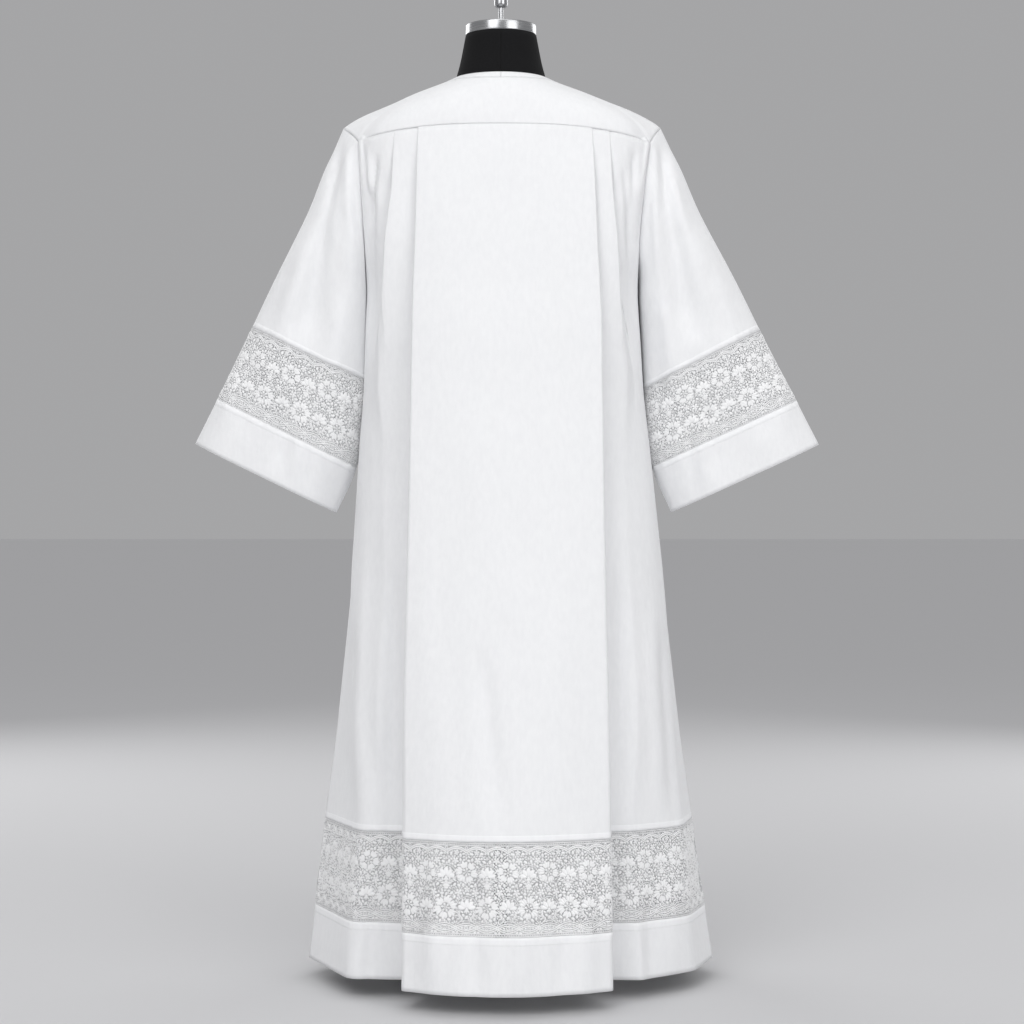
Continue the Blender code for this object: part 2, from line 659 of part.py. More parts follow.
def stand(collection):
    cap_low, cap_high = (HEM + height for height in CAP_HEIGHTS)
    cap = ((CAP_RADIUS, cap_low), (CAP_RADIUS, cap_high - CAP_EDGE), (CAP_RADIUS - CAP_EDGE, cap_high))
    turned("neck_cap", cap, 32, STEEL, collection)
    rod_low, rod_high = cap_high + SEAM, HEM + ROD_TOP
    turned("top_rod", ((ROD_RADIUS, rod_low), (ROD_RADIUS, rod_high)), 16, STEEL, collection)
    knob_low, knob_high = rod_high + SEAM, HEM + KNOB_TOP
    knob = (
        (KNOB_RADIUS - KNOB_ROUND, knob_low),
        (KNOB_RADIUS - KNOB_ROUND / 3.0, knob_low + KNOB_ROUND / 3.0),
        (KNOB_RADIUS, knob_low + KNOB_ROUND),
        (KNOB_RADIUS, knob_high - KNOB_EDGE),
        (KNOB_RADIUS - KNOB_EDGE, knob_high),
    )
    turned("top_knob", knob, 20, STEEL, collection)
    pole = ((POLE_RADIUS, BASE_HEIGHT + SEAM), (POLE_RADIUS, HEM + FORM_ROWS[-1][0] - SEAM))
    turned("stand_pole", pole, 20, STEEL, collection)
    base = (
        (BASE_RADIUS, 0.0),
        (BASE_RADIUS, BASE_HEIGHT - BASE_EDGE),
        (BASE_RADIUS - BASE_EDGE, BASE_HEIGHT),
    )
    turned("stand_base", base, 48, BLACK_METAL, collection)


def build():
    clear_scene()
    collection = bpy.data.collections.new("alb robe on a dress form")
    bpy.context.scene.collection.children.link(collection)
    yoke_and_neckband(collection)
    for name, face in (("back", BACK), ("front", FRONT)):
        body(name + "_body", face, collection)
        trim(name + "_hem_lace", face, LACE_TOP, LACE_BOTTOM + SEAM, LACE_ROWS, LACE, collection, gaps=True)
        trim(name + "_hem_band", face, LACE_BOTTOM, 0.0, BAND_ROWS, COTTON, collection)
    for side in ("left", "right"):
        sleeve(side, collection)
    dress_form(collection)
    stand(collection)


build()
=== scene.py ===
"""The looks of a white alb robe, pleated from a yoke and let in with lace, on a limbless dress form.

Metres, +Z up. The back of the robe faces -Y. Heights are measured up from the hem edge.
"""
import math
import random

import bpy
import numpy as np
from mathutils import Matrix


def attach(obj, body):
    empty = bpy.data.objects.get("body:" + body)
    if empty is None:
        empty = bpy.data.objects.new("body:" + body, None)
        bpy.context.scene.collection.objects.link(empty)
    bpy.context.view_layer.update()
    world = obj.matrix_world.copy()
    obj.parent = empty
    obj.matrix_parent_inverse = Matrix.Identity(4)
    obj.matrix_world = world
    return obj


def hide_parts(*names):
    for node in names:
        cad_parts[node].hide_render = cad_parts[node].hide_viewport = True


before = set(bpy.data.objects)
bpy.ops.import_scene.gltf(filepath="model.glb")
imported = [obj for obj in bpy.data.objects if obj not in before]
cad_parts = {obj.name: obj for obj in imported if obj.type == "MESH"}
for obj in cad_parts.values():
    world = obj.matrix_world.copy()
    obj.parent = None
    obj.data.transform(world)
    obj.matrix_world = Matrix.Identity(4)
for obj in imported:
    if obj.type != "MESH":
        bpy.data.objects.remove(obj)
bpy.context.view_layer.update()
random.seed(11)

# Sizes of the robe, the same as those of the solids.
HEM = 0.030
SEAM = 0.0003
YOKE_GAP = 0.0006
BACK = -1.0
FRONT = 1.0
FRONT_DEPTH = 0.96
BACK_SEAM = 1.3315
FRONT_SEAM = 1.283
SEAM_DROP = 0.0205
SEAM_DROP_WIDTH = 0.2325
SEAM_DROP_POWER = 2.6
LEVEL_BELOW = 1.203
LACE_TOP = 0.226
LACE_BOTTOM = 0.087
UNDERARM = 1.073
SIDE_LEAN = 0.0004
SIDE_LEAN_OVER = 0.42
PRESSED = 0.84
PRESSED_OVER = 0.090
SECTION_COLUMNS = ("height", "centre", "end", "panel_depth", "overlap", "drop", "radius")
SECTION_ROWS = (
    (1.3315, .1100, .0500, .1035, .020, .0044, .0020),
    (1.2430, .1300, .0580, .1210, .020, .0048, .0022),
    (1.1430, .1480, .0460, .1370, .018, .0056, .0026),
    (1.0730, .1590, .0000, .1460, .016, .0080, .0030),
    (1.0030, .1700, .0000, .1560, .013, .0115, .0035),
    (0.9300, .1790, .0000, .1640, .010, .0170, .0040),
    (0.8150, .1960, .0000, .1780, .006, .0250, .0050),
    (0.6530, .2190, .0000, .1980, .002, .0340, .0070),
    (0.3890, .2600, .0000, .2300, -.002, .0480, .0090),
    (0.2300, .2850, .0000, .2470, -.004, .0570, .0100),
    (0.0000, .3100, .0000, .2670, -.008, .0630, .0120),
)
SIDE_COLUMNS = (
    "height", "side", "panel", "pleat", "pleat_depth", "pleat_overlap", "pleat_drop",
    "corner_depth", "corner_radius", "corner_in",
)
SIDE_ROWS = {
    "left": (
        (1.3315, .2275, .1300, .168, .0905, .012, .0044, .050, .026, .026),
        (1.2430, .2225, .1320, .172, .1070, .012, .0048, .058, .034, .034),
        (1.1430, .2175, .1340, .183, .1150, .004, .0075, .046, .050, .050),
        (1.0730, .2155, .1365, .187, .1140, -.004, .0235, .030, .066, .066),
        (1.0030, .2170, .1380, .191, .1130, -.012, .0260, .032, .070, .070),
        (0.9300, .2190, .1390, .194, .1080, -.018, .0230, .034, .074, .074),
        (0.8150, .2270, .1405, .186, .1150, -.026, .0125, .036, .078, .078),
        (0.6530, .2375, .1430, .185, .1300, -.028, .0050, .046, .080, .081),
        (0.3890, .2630, .1480, .197, .1500, -.021, -.0068, .092, .050, .077),
        (0.2300, .2835, .1480, .188, .1620, -.012, -.0188, .128, .032, .088),
        (0.0000, .3100, .1485, .197, .1760, -.016, -.0235, .145, .030, .096),
    ),
    "right": (
        (1.3315, .2380, .1440, .172, .0905, .012, .0044, .050, .026, .026),
        (1.2430, .2285, .1480, .176, .1070, .012, .0048, .058, .034, .034),
        (1.1430, .2205, .1515, .184, .1150, .004, .0075, .046, .050, .050),
        (1.0730, .2190, .1550, .188, .1140, -.004, .0235, .030, .066, .066),
        (1.0030, .2225, .1575, .193, .1130, -.012, .0260, .032, .070, .070),
        (0.9300, .2270, .1580, .200, .1080, -.018, .0230, .034, .074, .074),
        (0.8150, .2390, .1595, .197, .1150, -.026, .0125, .036, .078, .078),
        (0.6530, .2560, .1615, .203, .1300, -.030, .0070, .040, .085, .085),
        (0.3890, .2860, .1660, .218, .1500, -.031, .0037, .062, .070, .081),
        (0.2300, .3080, .1680, .210, .1630, -.042, .0046, .074, .055, .073),
        (0.0000, .3420, .1700, .227, .1820, -.051, .0126, .080, .050, .081),
    ),
}
WRONG_TURN = math.radians(30.0)
EVEN_FROM = 1.085
EVEN_TO = 0.930
EVEN_SHARE = 0.85
FINE_BENDS = {"panel edge": 8, "under fold": 8, "pleat edge": 6, "pleat fold": 6, "corner": 16}
FINE_STRAIGHTS = {"panel": 22, "return": 6, "under": 9, "across": 8, "side": 5}
BODY_ROWS = 118
LACE_ROWS = 22
BAND_ROWS = 14

NECK_RADIUS = 0.0765
NECK_HEIGHT = 1.419
TIP = {"left": (0.2553, 1.341), "right": (0.2582, 1.342)}
YOKE_ANGLES = (0.0, 8.0, 17.0, 28.0, 40.0, 52.0, 64.0, 77.0, 90.0)
YOKE_SEAM_SHARES = (1.0, .87, .73, .585, .40, .20, 0.0)
YOKE_ARMHOLE = {"depth": 0.62, "height": 0.48, "width": 0.55}
EDGE_WIDTH = 0.945
EDGE_POWER = 2.6
QUARTER = 8
NECKBAND = 0.012
V_DEPTH = 0.110
V_START = 25.0
V_POWER = 1.25
YOKE_START_FALL = 0.40
YOKE_BACK_FALL = 0.75
YOKE_SEAM_REACH = 0.17
YOKE_ARM_FALL = 0.80
YOKE_SEAM_FALL = 0.20
YOKE_SEAM_PULL = 0.80
YOKE_ROWS = 30

SLEEVE_COLUMNS = ("name", "outer_x", "outer_h", "inner_x", "inner_h", "half")
SLEEVE_ROWS = {
    "left": (
        ("cap", .2770, 1.2940, .2190, 1.0580, .066),
        ("upper", .3200, 1.1990, .2195, 1.0280, .070),
        ("middle", .3600, 1.1100, .2205, 0.9880, .068),
        ("lace top", .4020, 1.0190, .2225, 0.9320, .064),
        ("lace bottom", .4575, 0.9035, .2345, 0.7936, .060),
        ("cuff edge", .4940, 0.8310, .2660, 0.7200, .058),
    ),
    "right": (
        ("cap", .2832, 1.2940, .2225, 1.0580, .066),
        ("upper", .3293, 1.1990, .2245, 1.0280, .070),
        ("middle", .3720, 1.1100, .2275, 0.9880, .068),
        ("lace top", .4185, 1.0140, .2310, 0.9205, .064),
        ("lace bottom", .4770, 0.9010, .2445, 0.7940, .060),
        ("cuff edge", .5140, 0.8300, .2755, 0.7210, .058),
    ),
}
SLEEVE_CLEAR = 0.0004
UNDERARM_CLEAR = 0.0010
SLEEVE_ROUND = 0.85
TUCKED = 0.0058
TUCKED_AT = 1.215
TUCKED_OVER = 0.088
LEANING = {"left": 0.0080, "right": 0.0}
LEANING_FROM = (1.230, 1.150)
LEANING_TO = (0.900, 0.840)
LEANING_CLEAR = 0.0009
FULLER = {"left": 0.004, "right": 0.002}
FULLER_FROM = (1.235, 1.140)
FULLER_TO = (0.960, 0.860)
SLEEVE_WAVE = 0.0035
SLEEVE_WAVES = 3.0
ARMHOLE_LEVELS = (1.31, 1.29, 1.265, 1.243, 1.215, 1.19, 1.165, 1.143, 1.125, 1.108, 1.095, 1.085, 1.078)
SLEEVE_STEPS = {"cap": 14, "upper": 14, "middle": 14, "lace top": 14, "lace bottom": 22, "cuff edge": 12}
SIGN = {"left": -1.0, "right": 1.0}

CLOTH = 0.0011
NET = 0.0006
DOUBLED = 0.0002
DOUBLED_AWAY = (0.0007, 0.0007, 0.0006, 0.0003)
DOUBLED_ABOVE = 0.012
DOUBLED_BELOW = 0.015
DOUBLED_ROWS = 3
TURNED_IN = ((.0060, .0085), (.0046, .0050), (.0032, .0004), (.0010, .0001))

# The photograph's camera: level, on its centre line.
LENS = 80.9
CAMERA = (0.0178, -3.726, 0.751)


def table(columns, rows):
    return [dict(zip(columns, row)) for row in rows]


WHOLE = table(SECTION_COLUMNS, SECTION_ROWS)
SECTIONS = {
    side: [{**whole, **half} for whole, half in zip(WHOLE, table(SIDE_COLUMNS, rows))]
    for side, rows in SIDE_ROWS.items()
}
SLEEVES = {side: table(SLEEVE_COLUMNS, rows) for side, rows in SLEEVE_ROWS.items()}


def hermite(start, start_slope, finish, finish_slope, share):
    s2, s3 = share ** 2, share ** 3
    return (
        start * (2 * s3 - 3 * s2 + 1)
        + start_slope * (s3 - 2 * s2 + share)
        + finish * (3 * s2 - 2 * s3)
        + finish_slope * (s3 - s2)
    )


def slope(before, middle, after, name):
    """The gentler of the two slopes beside a row, and none at a turning point."""
    pairs = ((before, middle), (middle, after))
    steps = [(b[name] - a[name], b["height"] - a["height"]) for a, b in pairs]
    slopes = [rise / run for rise, run in steps if run]
    if len(slopes) < 2:
        return slopes[0]
    if slopes[0] * slopes[1] <= 0.0:
        return 0.0
    return min(slopes, key=abs)


def section_at(level, side):
    """Every column of the section tables at a height, on smooth curves through their rows."""
    rows = SECTIONS[side]
    if level >= rows[0]["height"]:
        return dict(rows[0], height=level)
    index = max(i for i, row in enumerate(rows[:-1]) if row["height"] >= level)
    high, low = rows[index], rows[index + 1]
    above = rows[max(index - 1, 0)]
    below = rows[min(index + 2, len(rows) - 1)]
    span = low["height"] - high["height"]
    share = (level - high["height"]) / span
    found = {"height": level}
    for name in SECTION_COLUMNS[1:] + SIDE_COLUMNS[1:]:
        start = slope(above, high, low, name) * span
        finish = slope(high, low, below, name) * span
        found[name] = hermite(high[name], start, low[name], finish, share)
    found["end"] = max(found["end"], 0.0)
    if level <= UNDERARM:
        found["end"] = SIDE_LEAN * min(1.0, (UNDERARM - level) / SIDE_LEAN_OVER)
    return found


def belt(bends, extra):
    """The line of a belt drawn over a row of round bends, with points on each bend and each straight.

    A bend is its centre, its radius and its number of points. The radius is above zero where the belt
    turns right over it, below zero where it turns left, and zero at a plain point.
    """
    headings = []
    for (first, first_radius, _), (second, second_radius, _) in zip(bends, bends[1:]):
        dx, dy = second[0] - first[0], second[1] - first[1]
        lean = (second_radius - first_radius) / math.hypot(dx, dy)
        headings.append(math.atan2(dy, dx) + math.asin(max(-1.0, min(1.0, lean))))
    points = []
    for i, (centre, radius, count) in enumerate(bends):
        arriving = headings[max(i - 1, 0)]
        leaving = headings[min(i, len(headings) - 1)]
        turn = (leaving - arriving + math.pi) % math.tau - math.pi
        if radius > 0.0 and turn > WRONG_TURN:
            turn -= math.tau
        if radius < 0.0 and turn < -WRONG_TURN:
            turn += math.tau
        bend = []
        for k in range(count):
            heading = arriving + turn * (k / (count - 1.0) if count > 1 else 0.0)
            bend.append((centre[0] - radius * math.sin(heading), centre[1] + radius * math.cos(heading)))
        if points and extra.get(i - 1):
            steps = extra[i - 1] + 1
            start = points[-1]
            for k in range(1, steps):
                share = k / steps
                points.append(tuple(a + (b - a) * share for a, b in zip(start, bend[0])))
        points += bend
    return points


def spread(points, share):
    """The same line with its points moved along it, by a share, towards even spacing."""
    line = np.array(points)
    lengths = np.concatenate(([0.0], np.cumsum(np.linalg.norm(np.diff(line, axis=0), axis=1))))
    even = np.linspace(0.0, lengths[-1], len(line))
    spots = lengths + (even - lengths) * share
    return [tuple(np.interp(spot, lengths, line[:, k]) for k in (0, 1)) for spot in spots]


def half_section(section):
    """Points from the centre to the side seam: (distance out from the axis, depth)."""
    radius = section["radius"]
    panel_edge = (section["panel"] - radius, section["panel_depth"] - radius)
    under_fold = (panel_edge[0] - section["overlap"], panel_edge[1] - section["drop"])
    pleat_edge = (section["pleat"] - radius, section["pleat_depth"] - radius)
    pleat_fold = (pleat_edge[0] - section["pleat_overlap"], pleat_edge[1] - section["pleat_drop"])
    corner = (section["side"] - section["corner_in"], section["corner_depth"])
    bends = [((0.0, section["centre"]), 0.0, 1)]
    fall = section["centre"] - section["panel_depth"]
    for i in range(1, FINE_STRAIGHTS["panel"] + 1):
        share = i / (FINE_STRAIGHTS["panel"] + 1.0)
        bends.append(((panel_edge[0] * share, section["centre"] - fall * share ** 2), 0.0, 1))
    bends += [
        (panel_edge, radius, FINE_BENDS["panel edge"]),
        (under_fold, -radius, FINE_BENDS["under fold"]),
        (pleat_edge, radius, FINE_BENDS["pleat edge"]),
        (pleat_fold, -radius, FINE_BENDS["pleat fold"]),
        (corner, section["corner_radius"], FINE_BENDS["corner"]),
        ((section["side"], section["end"] + SEAM / 2.0), 0.0, 1),
    ]
    last = len(bends) - 1
    extra = {
        last - 5: FINE_STRAIGHTS["return"],
        last - 4: FINE_STRAIGHTS["under"],
        last - 2: FINE_STRAIGHTS["across"],
        last - 1: FINE_STRAIGHTS["side"],
    }
    points = belt(bends, extra)
    tail = sum(FINE_BENDS[name] for name in ("pleat edge", "pleat fold", "corner"))
    tail += 1 + FINE_STRAIGHTS["under"] + FINE_STRAIGHTS["across"] + FINE_STRAIGHTS["side"]
    share = max(0.0, min(1.0, (EVEN_FROM - section["height"]) / (EVEN_FROM - EVEN_TO)))
    return points[:-tail] + spread(points[-tail - 1:], EVEN_SHARE * share)[1:]


def seam_drop(x):
    return SEAM_DROP * (abs(x) / SEAM_DROP_WIDTH) ** SEAM_DROP_POWER


def robe_point(level, x, depth, face):
    """A point of the robe in the world, from its place in a section."""
    share = max(0.0, min(1.0, (level - LEVEL_BELOW) / (BACK_SEAM - LEVEL_BELOW)))
    deep = depth * (FRONT_DEPTH if face > 0.0 else 1.0)
    return (x, face * deep, HEM + level - seam_drop(x) * share)


def pressed(points, section, share):
    """The line of a section with its pleats pressed flat, by a share, towards the line of the yoke seam."""
    line = np.array(points)
    out = np.clip(EDGE_WIDTH * line[:, 0] / section["side"], 0.0, 1.0) ** EDGE_POWER
    flat = section["centre"] * (1.0 - out) ** (1.0 / EDGE_POWER)
    beyond = smooth(section["pleat"] - 0.001, section["pleat"] + 0.003, line[:, 0])
    share = share + (share ** 0.25 - share) * beyond
    share = share * (1.0 - smooth(0.96, 1.0, line[:, 0] / section["side"]))
    line[:, 1] += (flat - line[:, 1]) * share
    return [tuple(point) for point in line]


def robe_row(level, face):
    top = BACK_SEAM if face < 0.0 else FRONT_SEAM
    share = PRESSED * float(1.0 - smooth(0.0, PRESSED_OVER, top - level))
    halves = []
    for side in ("left", "right"):
        section = section_at(level, side)
        halves.append(pressed(half_section(section), section, share))
    left = [(-x, depth) for x, depth in halves[0]]
    return [robe_point(level, x, depth, face) for x, depth in left[:0:-1] + halves[1]]


def side_end(level, side, face):
    """The edge of the back or front at a height: its armhole, or its side seam."""
    section = section_at(level, side)
    return np.array(robe_point(level, SIGN[side] * section["side"], section["end"] + SEAM / 2.0, face))


def normals(grid, closed, outward):
    """The unit normal at each point of a grid of rows, turned to the outside."""
    if closed:
        along = np.roll(grid, -1, axis=1) - np.roll(grid, 1, axis=1)
    else:
        along = np.gradient(grid, axis=1)
    down = np.gradient(grid, axis=0)
    found = np.cross(along, down) * outward
    length = np.linalg.norm(found, axis=2, keepdims=True)
    return found / np.maximum(length, 1e-12)


def smooth(low, high, value):
    share = np.clip((value - low) / (high - low), 0.0, 1.0)
    return share * share * (3.0 - 2.0 * share)


# Soft creases, as seen from behind: from one point (x, height) to another, with half width and depth.
# A depth above zero is a ridge, and one below zero a trough.
CREASE_COLUMNS = ("x1", "h1", "x2", "h2", "wide", "deep")
BACK_CREASES = (
    (-.1960, 1.290, -.2110, 1.170, .0046, -.0090),
    (-.2205, 1.315, -.2110, 1.180, .0050, -.0070),
    (-.2100, 1.300, -.2115, 1.225, .0034, .0030),
    (-.2050, 1.240, -.2060, 0.960, .0120, -.0060),
    (-.1930, 1.240, -.1990, 1.060, .0060, .0020),
    (.2120, 1.315, .2110, 1.170, .0065, -.0060),
    (.1960, 1.275, .2080, 1.120, .0070, -.0060),
    (.2050, 1.200, .2080, 0.960, .0110, -.0040),
    (.1900, 1.250, .1980, 1.080, .0050, .0018),
    (.0100, 1.290, -.0040, 0.980, .0480, -.0030),
    (-.0860, 1.270, -.0920, 0.940, .0250, .0014),
    (.0980, 1.280, .1080, 0.960, .0260, .0014),
    (-.0300, 0.900, -.0520, 0.520, .0300, .0018),
    (.0540, 0.940, .0400, 0.560, .0300, -.0016),
    (.0180, 0.640, .0160, 0.540, .0240, .0020),
    (-.0320, 0.520, .0020, 0.225, .0170, -.0065),
    (-.0700, 0.520, -.0640, 0.240, .0220, -.0022),
    (.0840, 0.600, .0960, 0.240, .0240, .0024),
    (-.1100, 0.760, -.1180, 0.330, .0180, .0016),
    (-.2340, 0.540, -.2520, 0.230, .0120, -.0075),
    (-.2150, 0.640, -.2300, 0.270, .0120, .0034),
    (.2560, 0.540, .2760, 0.210, .0120, -.0075),
    (.2360, 0.600, .2520, 0.250, .0120, .0034),
    (-.0950, 0.230, -.1020, -.020, .0150, .0065),
    (-.0400, 0.200, -.0360, -.030, .0160, -.0075),
    (.0300, 0.220, .0340, -.030, .0160, .0064),
    (.0900, 0.210, .0980, -.030, .0150, -.0070),
    (.1280, 0.240, .1340, -.020, .0120, .0034),
    (-.1640, 0.640, -.1700, 0.210, .0120, -.0070),
    (.1860, 0.640, .1920, 0.210, .0110, -.0050),
    (-.2000, 0.140, -.2020, -.030, .0120, -.0050),
    (.2300, 0.140, .2340, -.030, .0120, -.0045),
    (-.2420, 0.180, -.2480, -.010, .0120, .0020),
    (.2680, 0.190, .2760, -.010, .0130, .0022),
)
FRONT_CREASES = (
    (-.2050, 1.240, -.2070, 1.130, .0060, -.0035),
    (.2060, 1.240, .2060, 1.120, .0070, -.0035),
    (.0000, 1.260, .0060, 0.960, .0420, -.0028),
    (-.0900, 1.230, -.0940, 0.900, .0250, .0018),
    (.0940, 1.240, .1040, 0.930, .0260, .0016),
    (.0340, 0.880, .0540, 0.500, .0300, .0020),
    (-.0500, 0.900, -.0380, 0.540, .0300, -.0018),
    (.0720, 0.540, .0600, 0.250, .0200, -.0020),
    (-.0260, 0.500, -.0500, 0.240, .0200, -.0024),
    (.0100, 0.450, .0040, 0.220, .0220, .0020),
    (-.0980, 0.620, -.1100, 0.250, .0240, .0018),
    (-.2300, 0.540, -.2480, 0.230, .0120, -.0046),
    (.2500, 0.540, .2720, 0.210, .0120, -.0046),
    (-.2080, 0.620, -.2260, 0.270, .0120, .0032),
    (.2300, 0.600, .2480, 0.250, .0120, .0032),
    (.0940, 0.220, .1000, -.010, .0160, .0016),
    (.0380, 0.200, .0340, -.010, .0180, -.0018),
    (-.0340, 0.220, -.0360, -.010, .0180, .0016),
    (-.0920, 0.210, -.0980, -.010, .0170, -.0016),
)
SLEEVE_CREASES = {
    "left": (
        (-.2420, 1.325, -.2420, 1.070, .0090, .0080),
        (-.2560, 1.345, -.2880, 1.150, .0150, -.0120),
        (-.2820, 1.192, -.3120, 0.980, .0210, -.0150),
        (-.3200, 1.180, -.3560, 1.040, .0190, .0030),
        (-.3300, 1.130, -.3850, 1.000, .0140, -.0045),
        (-.2560, 1.060, -.2760, 0.900, .0140, .0050),
        (-.3300, 1.020, -.3560, 0.880, .0160, .0040),
        (-.3400, 0.915, -.3560, 0.780, .0110, -.0050),
        (-.2940, 0.880, -.3080, 0.745, .0110, -.0046),
        (-.3160, 0.890, -.3310, 0.760, .0100, .0030),
        (-.3900, 0.960, -.4160, 0.840, .0150, -.0034),
        (-.4240, 0.960, -.4480, 0.850, .0120, .0030),
    ),
    "right": (
        (.2420, 1.310, .2500, 1.090, .0080, .0070),
        (.2540, 1.340, .2740, 1.150, .0120, -.0110),
        (.2710, 1.192, .3020, 0.990, .0190, -.0130),
        (.3220, 1.180, .3640, 1.050, .0190, .0030),
        (.3300, 1.120, .3640, 0.980, .0160, -.0045),
        (.2580, 1.060, .2800, 0.900, .0140, .0050),
        (.3060, 1.010, .3300, 0.880, .0150, .0040),
        (.3260, 0.905, .3440, 0.770, .0110, -.0048),
        (.2960, 0.880, .3120, 0.745, .0110, -.0044),
        (.3120, 0.880, .3280, 0.750, .0090, .0026),
        (.3920, 0.960, .4240, 0.830, .0160, -.0036),
        (.4380, 0.960, .4640, 0.850, .0120, .0030),
    ),
}


def crease_depth(x, height, rows):
    """How far the creases lift each point, from its place as seen from behind."""
    lift = np.zeros_like(x)
    for row in table(CREASE_COLUMNS, rows):
        dx, dh = row["x2"] - row["x1"], row["h2"] - row["h1"]
        length = math.hypot(dx, dh)
        along = ((x - row["x1"]) * dx + (height - row["h1"]) * dh) / length ** 2
        off = ((x - row["x1"]) * dh - (height - row["h1"]) * dx) / length
        fade = smooth(-0.06, 0.24, along) * (1.0 - smooth(0.66, 1.06, along))
        wide = row["wide"] * (0.75 + 0.5 * np.clip(along, 0.0, 1.0))
        lift += row["deep"] * fade * np.exp(-((off / wide) ** 2))
    return lift


def soft_waves(grid, seed, size, count=14, shortest=0.05, longest=0.30):
    """Gentle unevenness of hanging cloth, the same each time."""
    drawn = random.Random(seed)
    lift = np.zeros(grid.shape[:2])
    for _ in range(count):
        length = shortest * (longest / shortest) ** drawn.random()
        lean = drawn.uniform(-0.35, 0.35)
        turn = drawn.uniform(-0.5, 0.5)
        phase = drawn.uniform(0.0, math.tau)
        spot = grid[..., 0] * math.cos(turn) + grid[..., 1] * math.sin(turn) + lean * grid[..., 2]
        lift += math.sqrt(length / longest) * np.sin(math.tau * spot / length + phase)
    return size * lift / math.sqrt(count)


def pucker(along, away, seed, size=0.00045):
    """Small gathers where a seam draws the cloth in, dying away from the seam."""
    drawn = random.Random(seed)
    lift = np.zeros_like(along)
    for length in (0.017, 0.026, 0.041):
        lift += np.sin(math.tau * along / length + drawn.uniform(0.0, math.tau))
    return size * lift * np.exp(-np.abs(away) / 0.009)


def arc_lengths(row):
    return np.concatenate(([0.0], np.cumsum(np.linalg.norm(np.diff(row, axis=0), axis=1))))


def robe_surface(face):
    """All of the back or front below the yoke: its points, outward normals, levels and lengths along."""
    top = BACK_SEAM if face < 0.0 else FRONT_SEAM
    above, below = LACE_TOP + SEAM + DOUBLED_ABOVE, LACE_BOTTOM - DOUBLED_BELOW
    levels = np.concatenate((
        np.linspace(top, above, BODY_ROWS - DOUBLED_ROWS),
        np.linspace(above, LACE_TOP + SEAM, DOUBLED_ROWS + 1)[1:],
        np.linspace(LACE_TOP, LACE_BOTTOM + SEAM, LACE_ROWS),
        np.linspace(LACE_BOTTOM, below, DOUBLED_ROWS + 1),
        np.linspace(below, 0.0, BAND_ROWS - DOUBLED_ROWS)[1:],
    ))
    grid = np.array([robe_row(level, face) for level in levels])
    outward = normals(grid, False, face)
    height = grid[..., 2] - HEM
    rows = BACK_CREASES if face < 0.0 else FRONT_CREASES
    facing = smooth(0.05, 0.5, outward[..., 1] * face)
    top_fade = smooth(0.0, 0.05, top - levels)[:, None]
    waves = soft_waves(grid, 5 if face < 0.0 else 9, 0.0008)
    along = np.array([arc_lengths(row) for row in grid])
    lift = crease_depth(grid[..., 0], height, rows) * facing
    lift += waves * facing * (0.35 + 0.65 * smooth(1.2, 0.6, levels))[:, None]
    lift *= top_fade
    for seam, seed in ((LACE_TOP, 21), (LACE_BOTTOM, 22)):
        lift += pucker(along, (levels - seam)[:, None], seed + int(face))
    side_fade = np.minimum(along, along[:, -1:] - along)
    lift *= smooth(0.0, 0.03, side_fade)
    return grid + outward * lift[..., None], outward, levels, along


def turned_in(edge, face):
    """The rows of seam cloth behind the yoke, from the inside out to the top edge of the robe."""
    wide = SEAM_DROP_WIDTH / EDGE_WIDTH
    away_x = np.sign(edge[:, 0]) * np.abs(edge[:, 0] / wide) ** (EDGE_POWER - 1.0) / wide
    deep = np.abs(edge[:, 1]).max()
    away_y = face * np.abs(edge[:, 1] / deep) ** (EDGE_POWER - 1.0) / deep
    away = np.column_stack((away_x, away_y, np.zeros(len(edge))))
    away /= np.linalg.norm(away, axis=1, keepdims=True)
    return [edge - away * inward + np.array((0.0, 0.0, up)) for inward, up in TURNED_IN]


def yoke_outer(k, side, face):
    """Where a line of the yoke ends, on the armhole for k up to 2 and on the seam above that."""
    top = BACK_SEAM if face < 0.0 else FRONT_SEAM
    section = section_at(top, side)
    rise = np.array((0.0, 0.0, YOKE_GAP))
    end = side_end(top, side, face) + rise
    if k < 2.0:
        tip = np.array((SIGN[side] * TIP[side][0], 0.0, HEM + TIP[side][1]))
        shares = np.array([YOKE_ARMHOLE[name] for name in ("width", "depth", "height")])
        middle = tip + (end - tip) * shares
        return tip * (1.0 - k) * (2.0 - k) / 2.0 + middle * k * (2.0 - k) + end * k * (k - 1.0) / 2.0
    share = float(np.interp(k - 2.0, range(len(YOKE_SEAM_SHARES)), YOKE_SEAM_SHARES))
    depth = section["centre"] * (1.0 - (EDGE_WIDTH * share) ** EDGE_POWER) ** (1.0 / EDGE_POWER)
    seam = section["end"] + SEAM / 2.0
    near = max(0.0, 3.0 - k)
    depth += (seam - depth) * near ** 2
    return np.array(robe_point(top, SIGN[side] * section["side"] * share, depth, face)) + rise


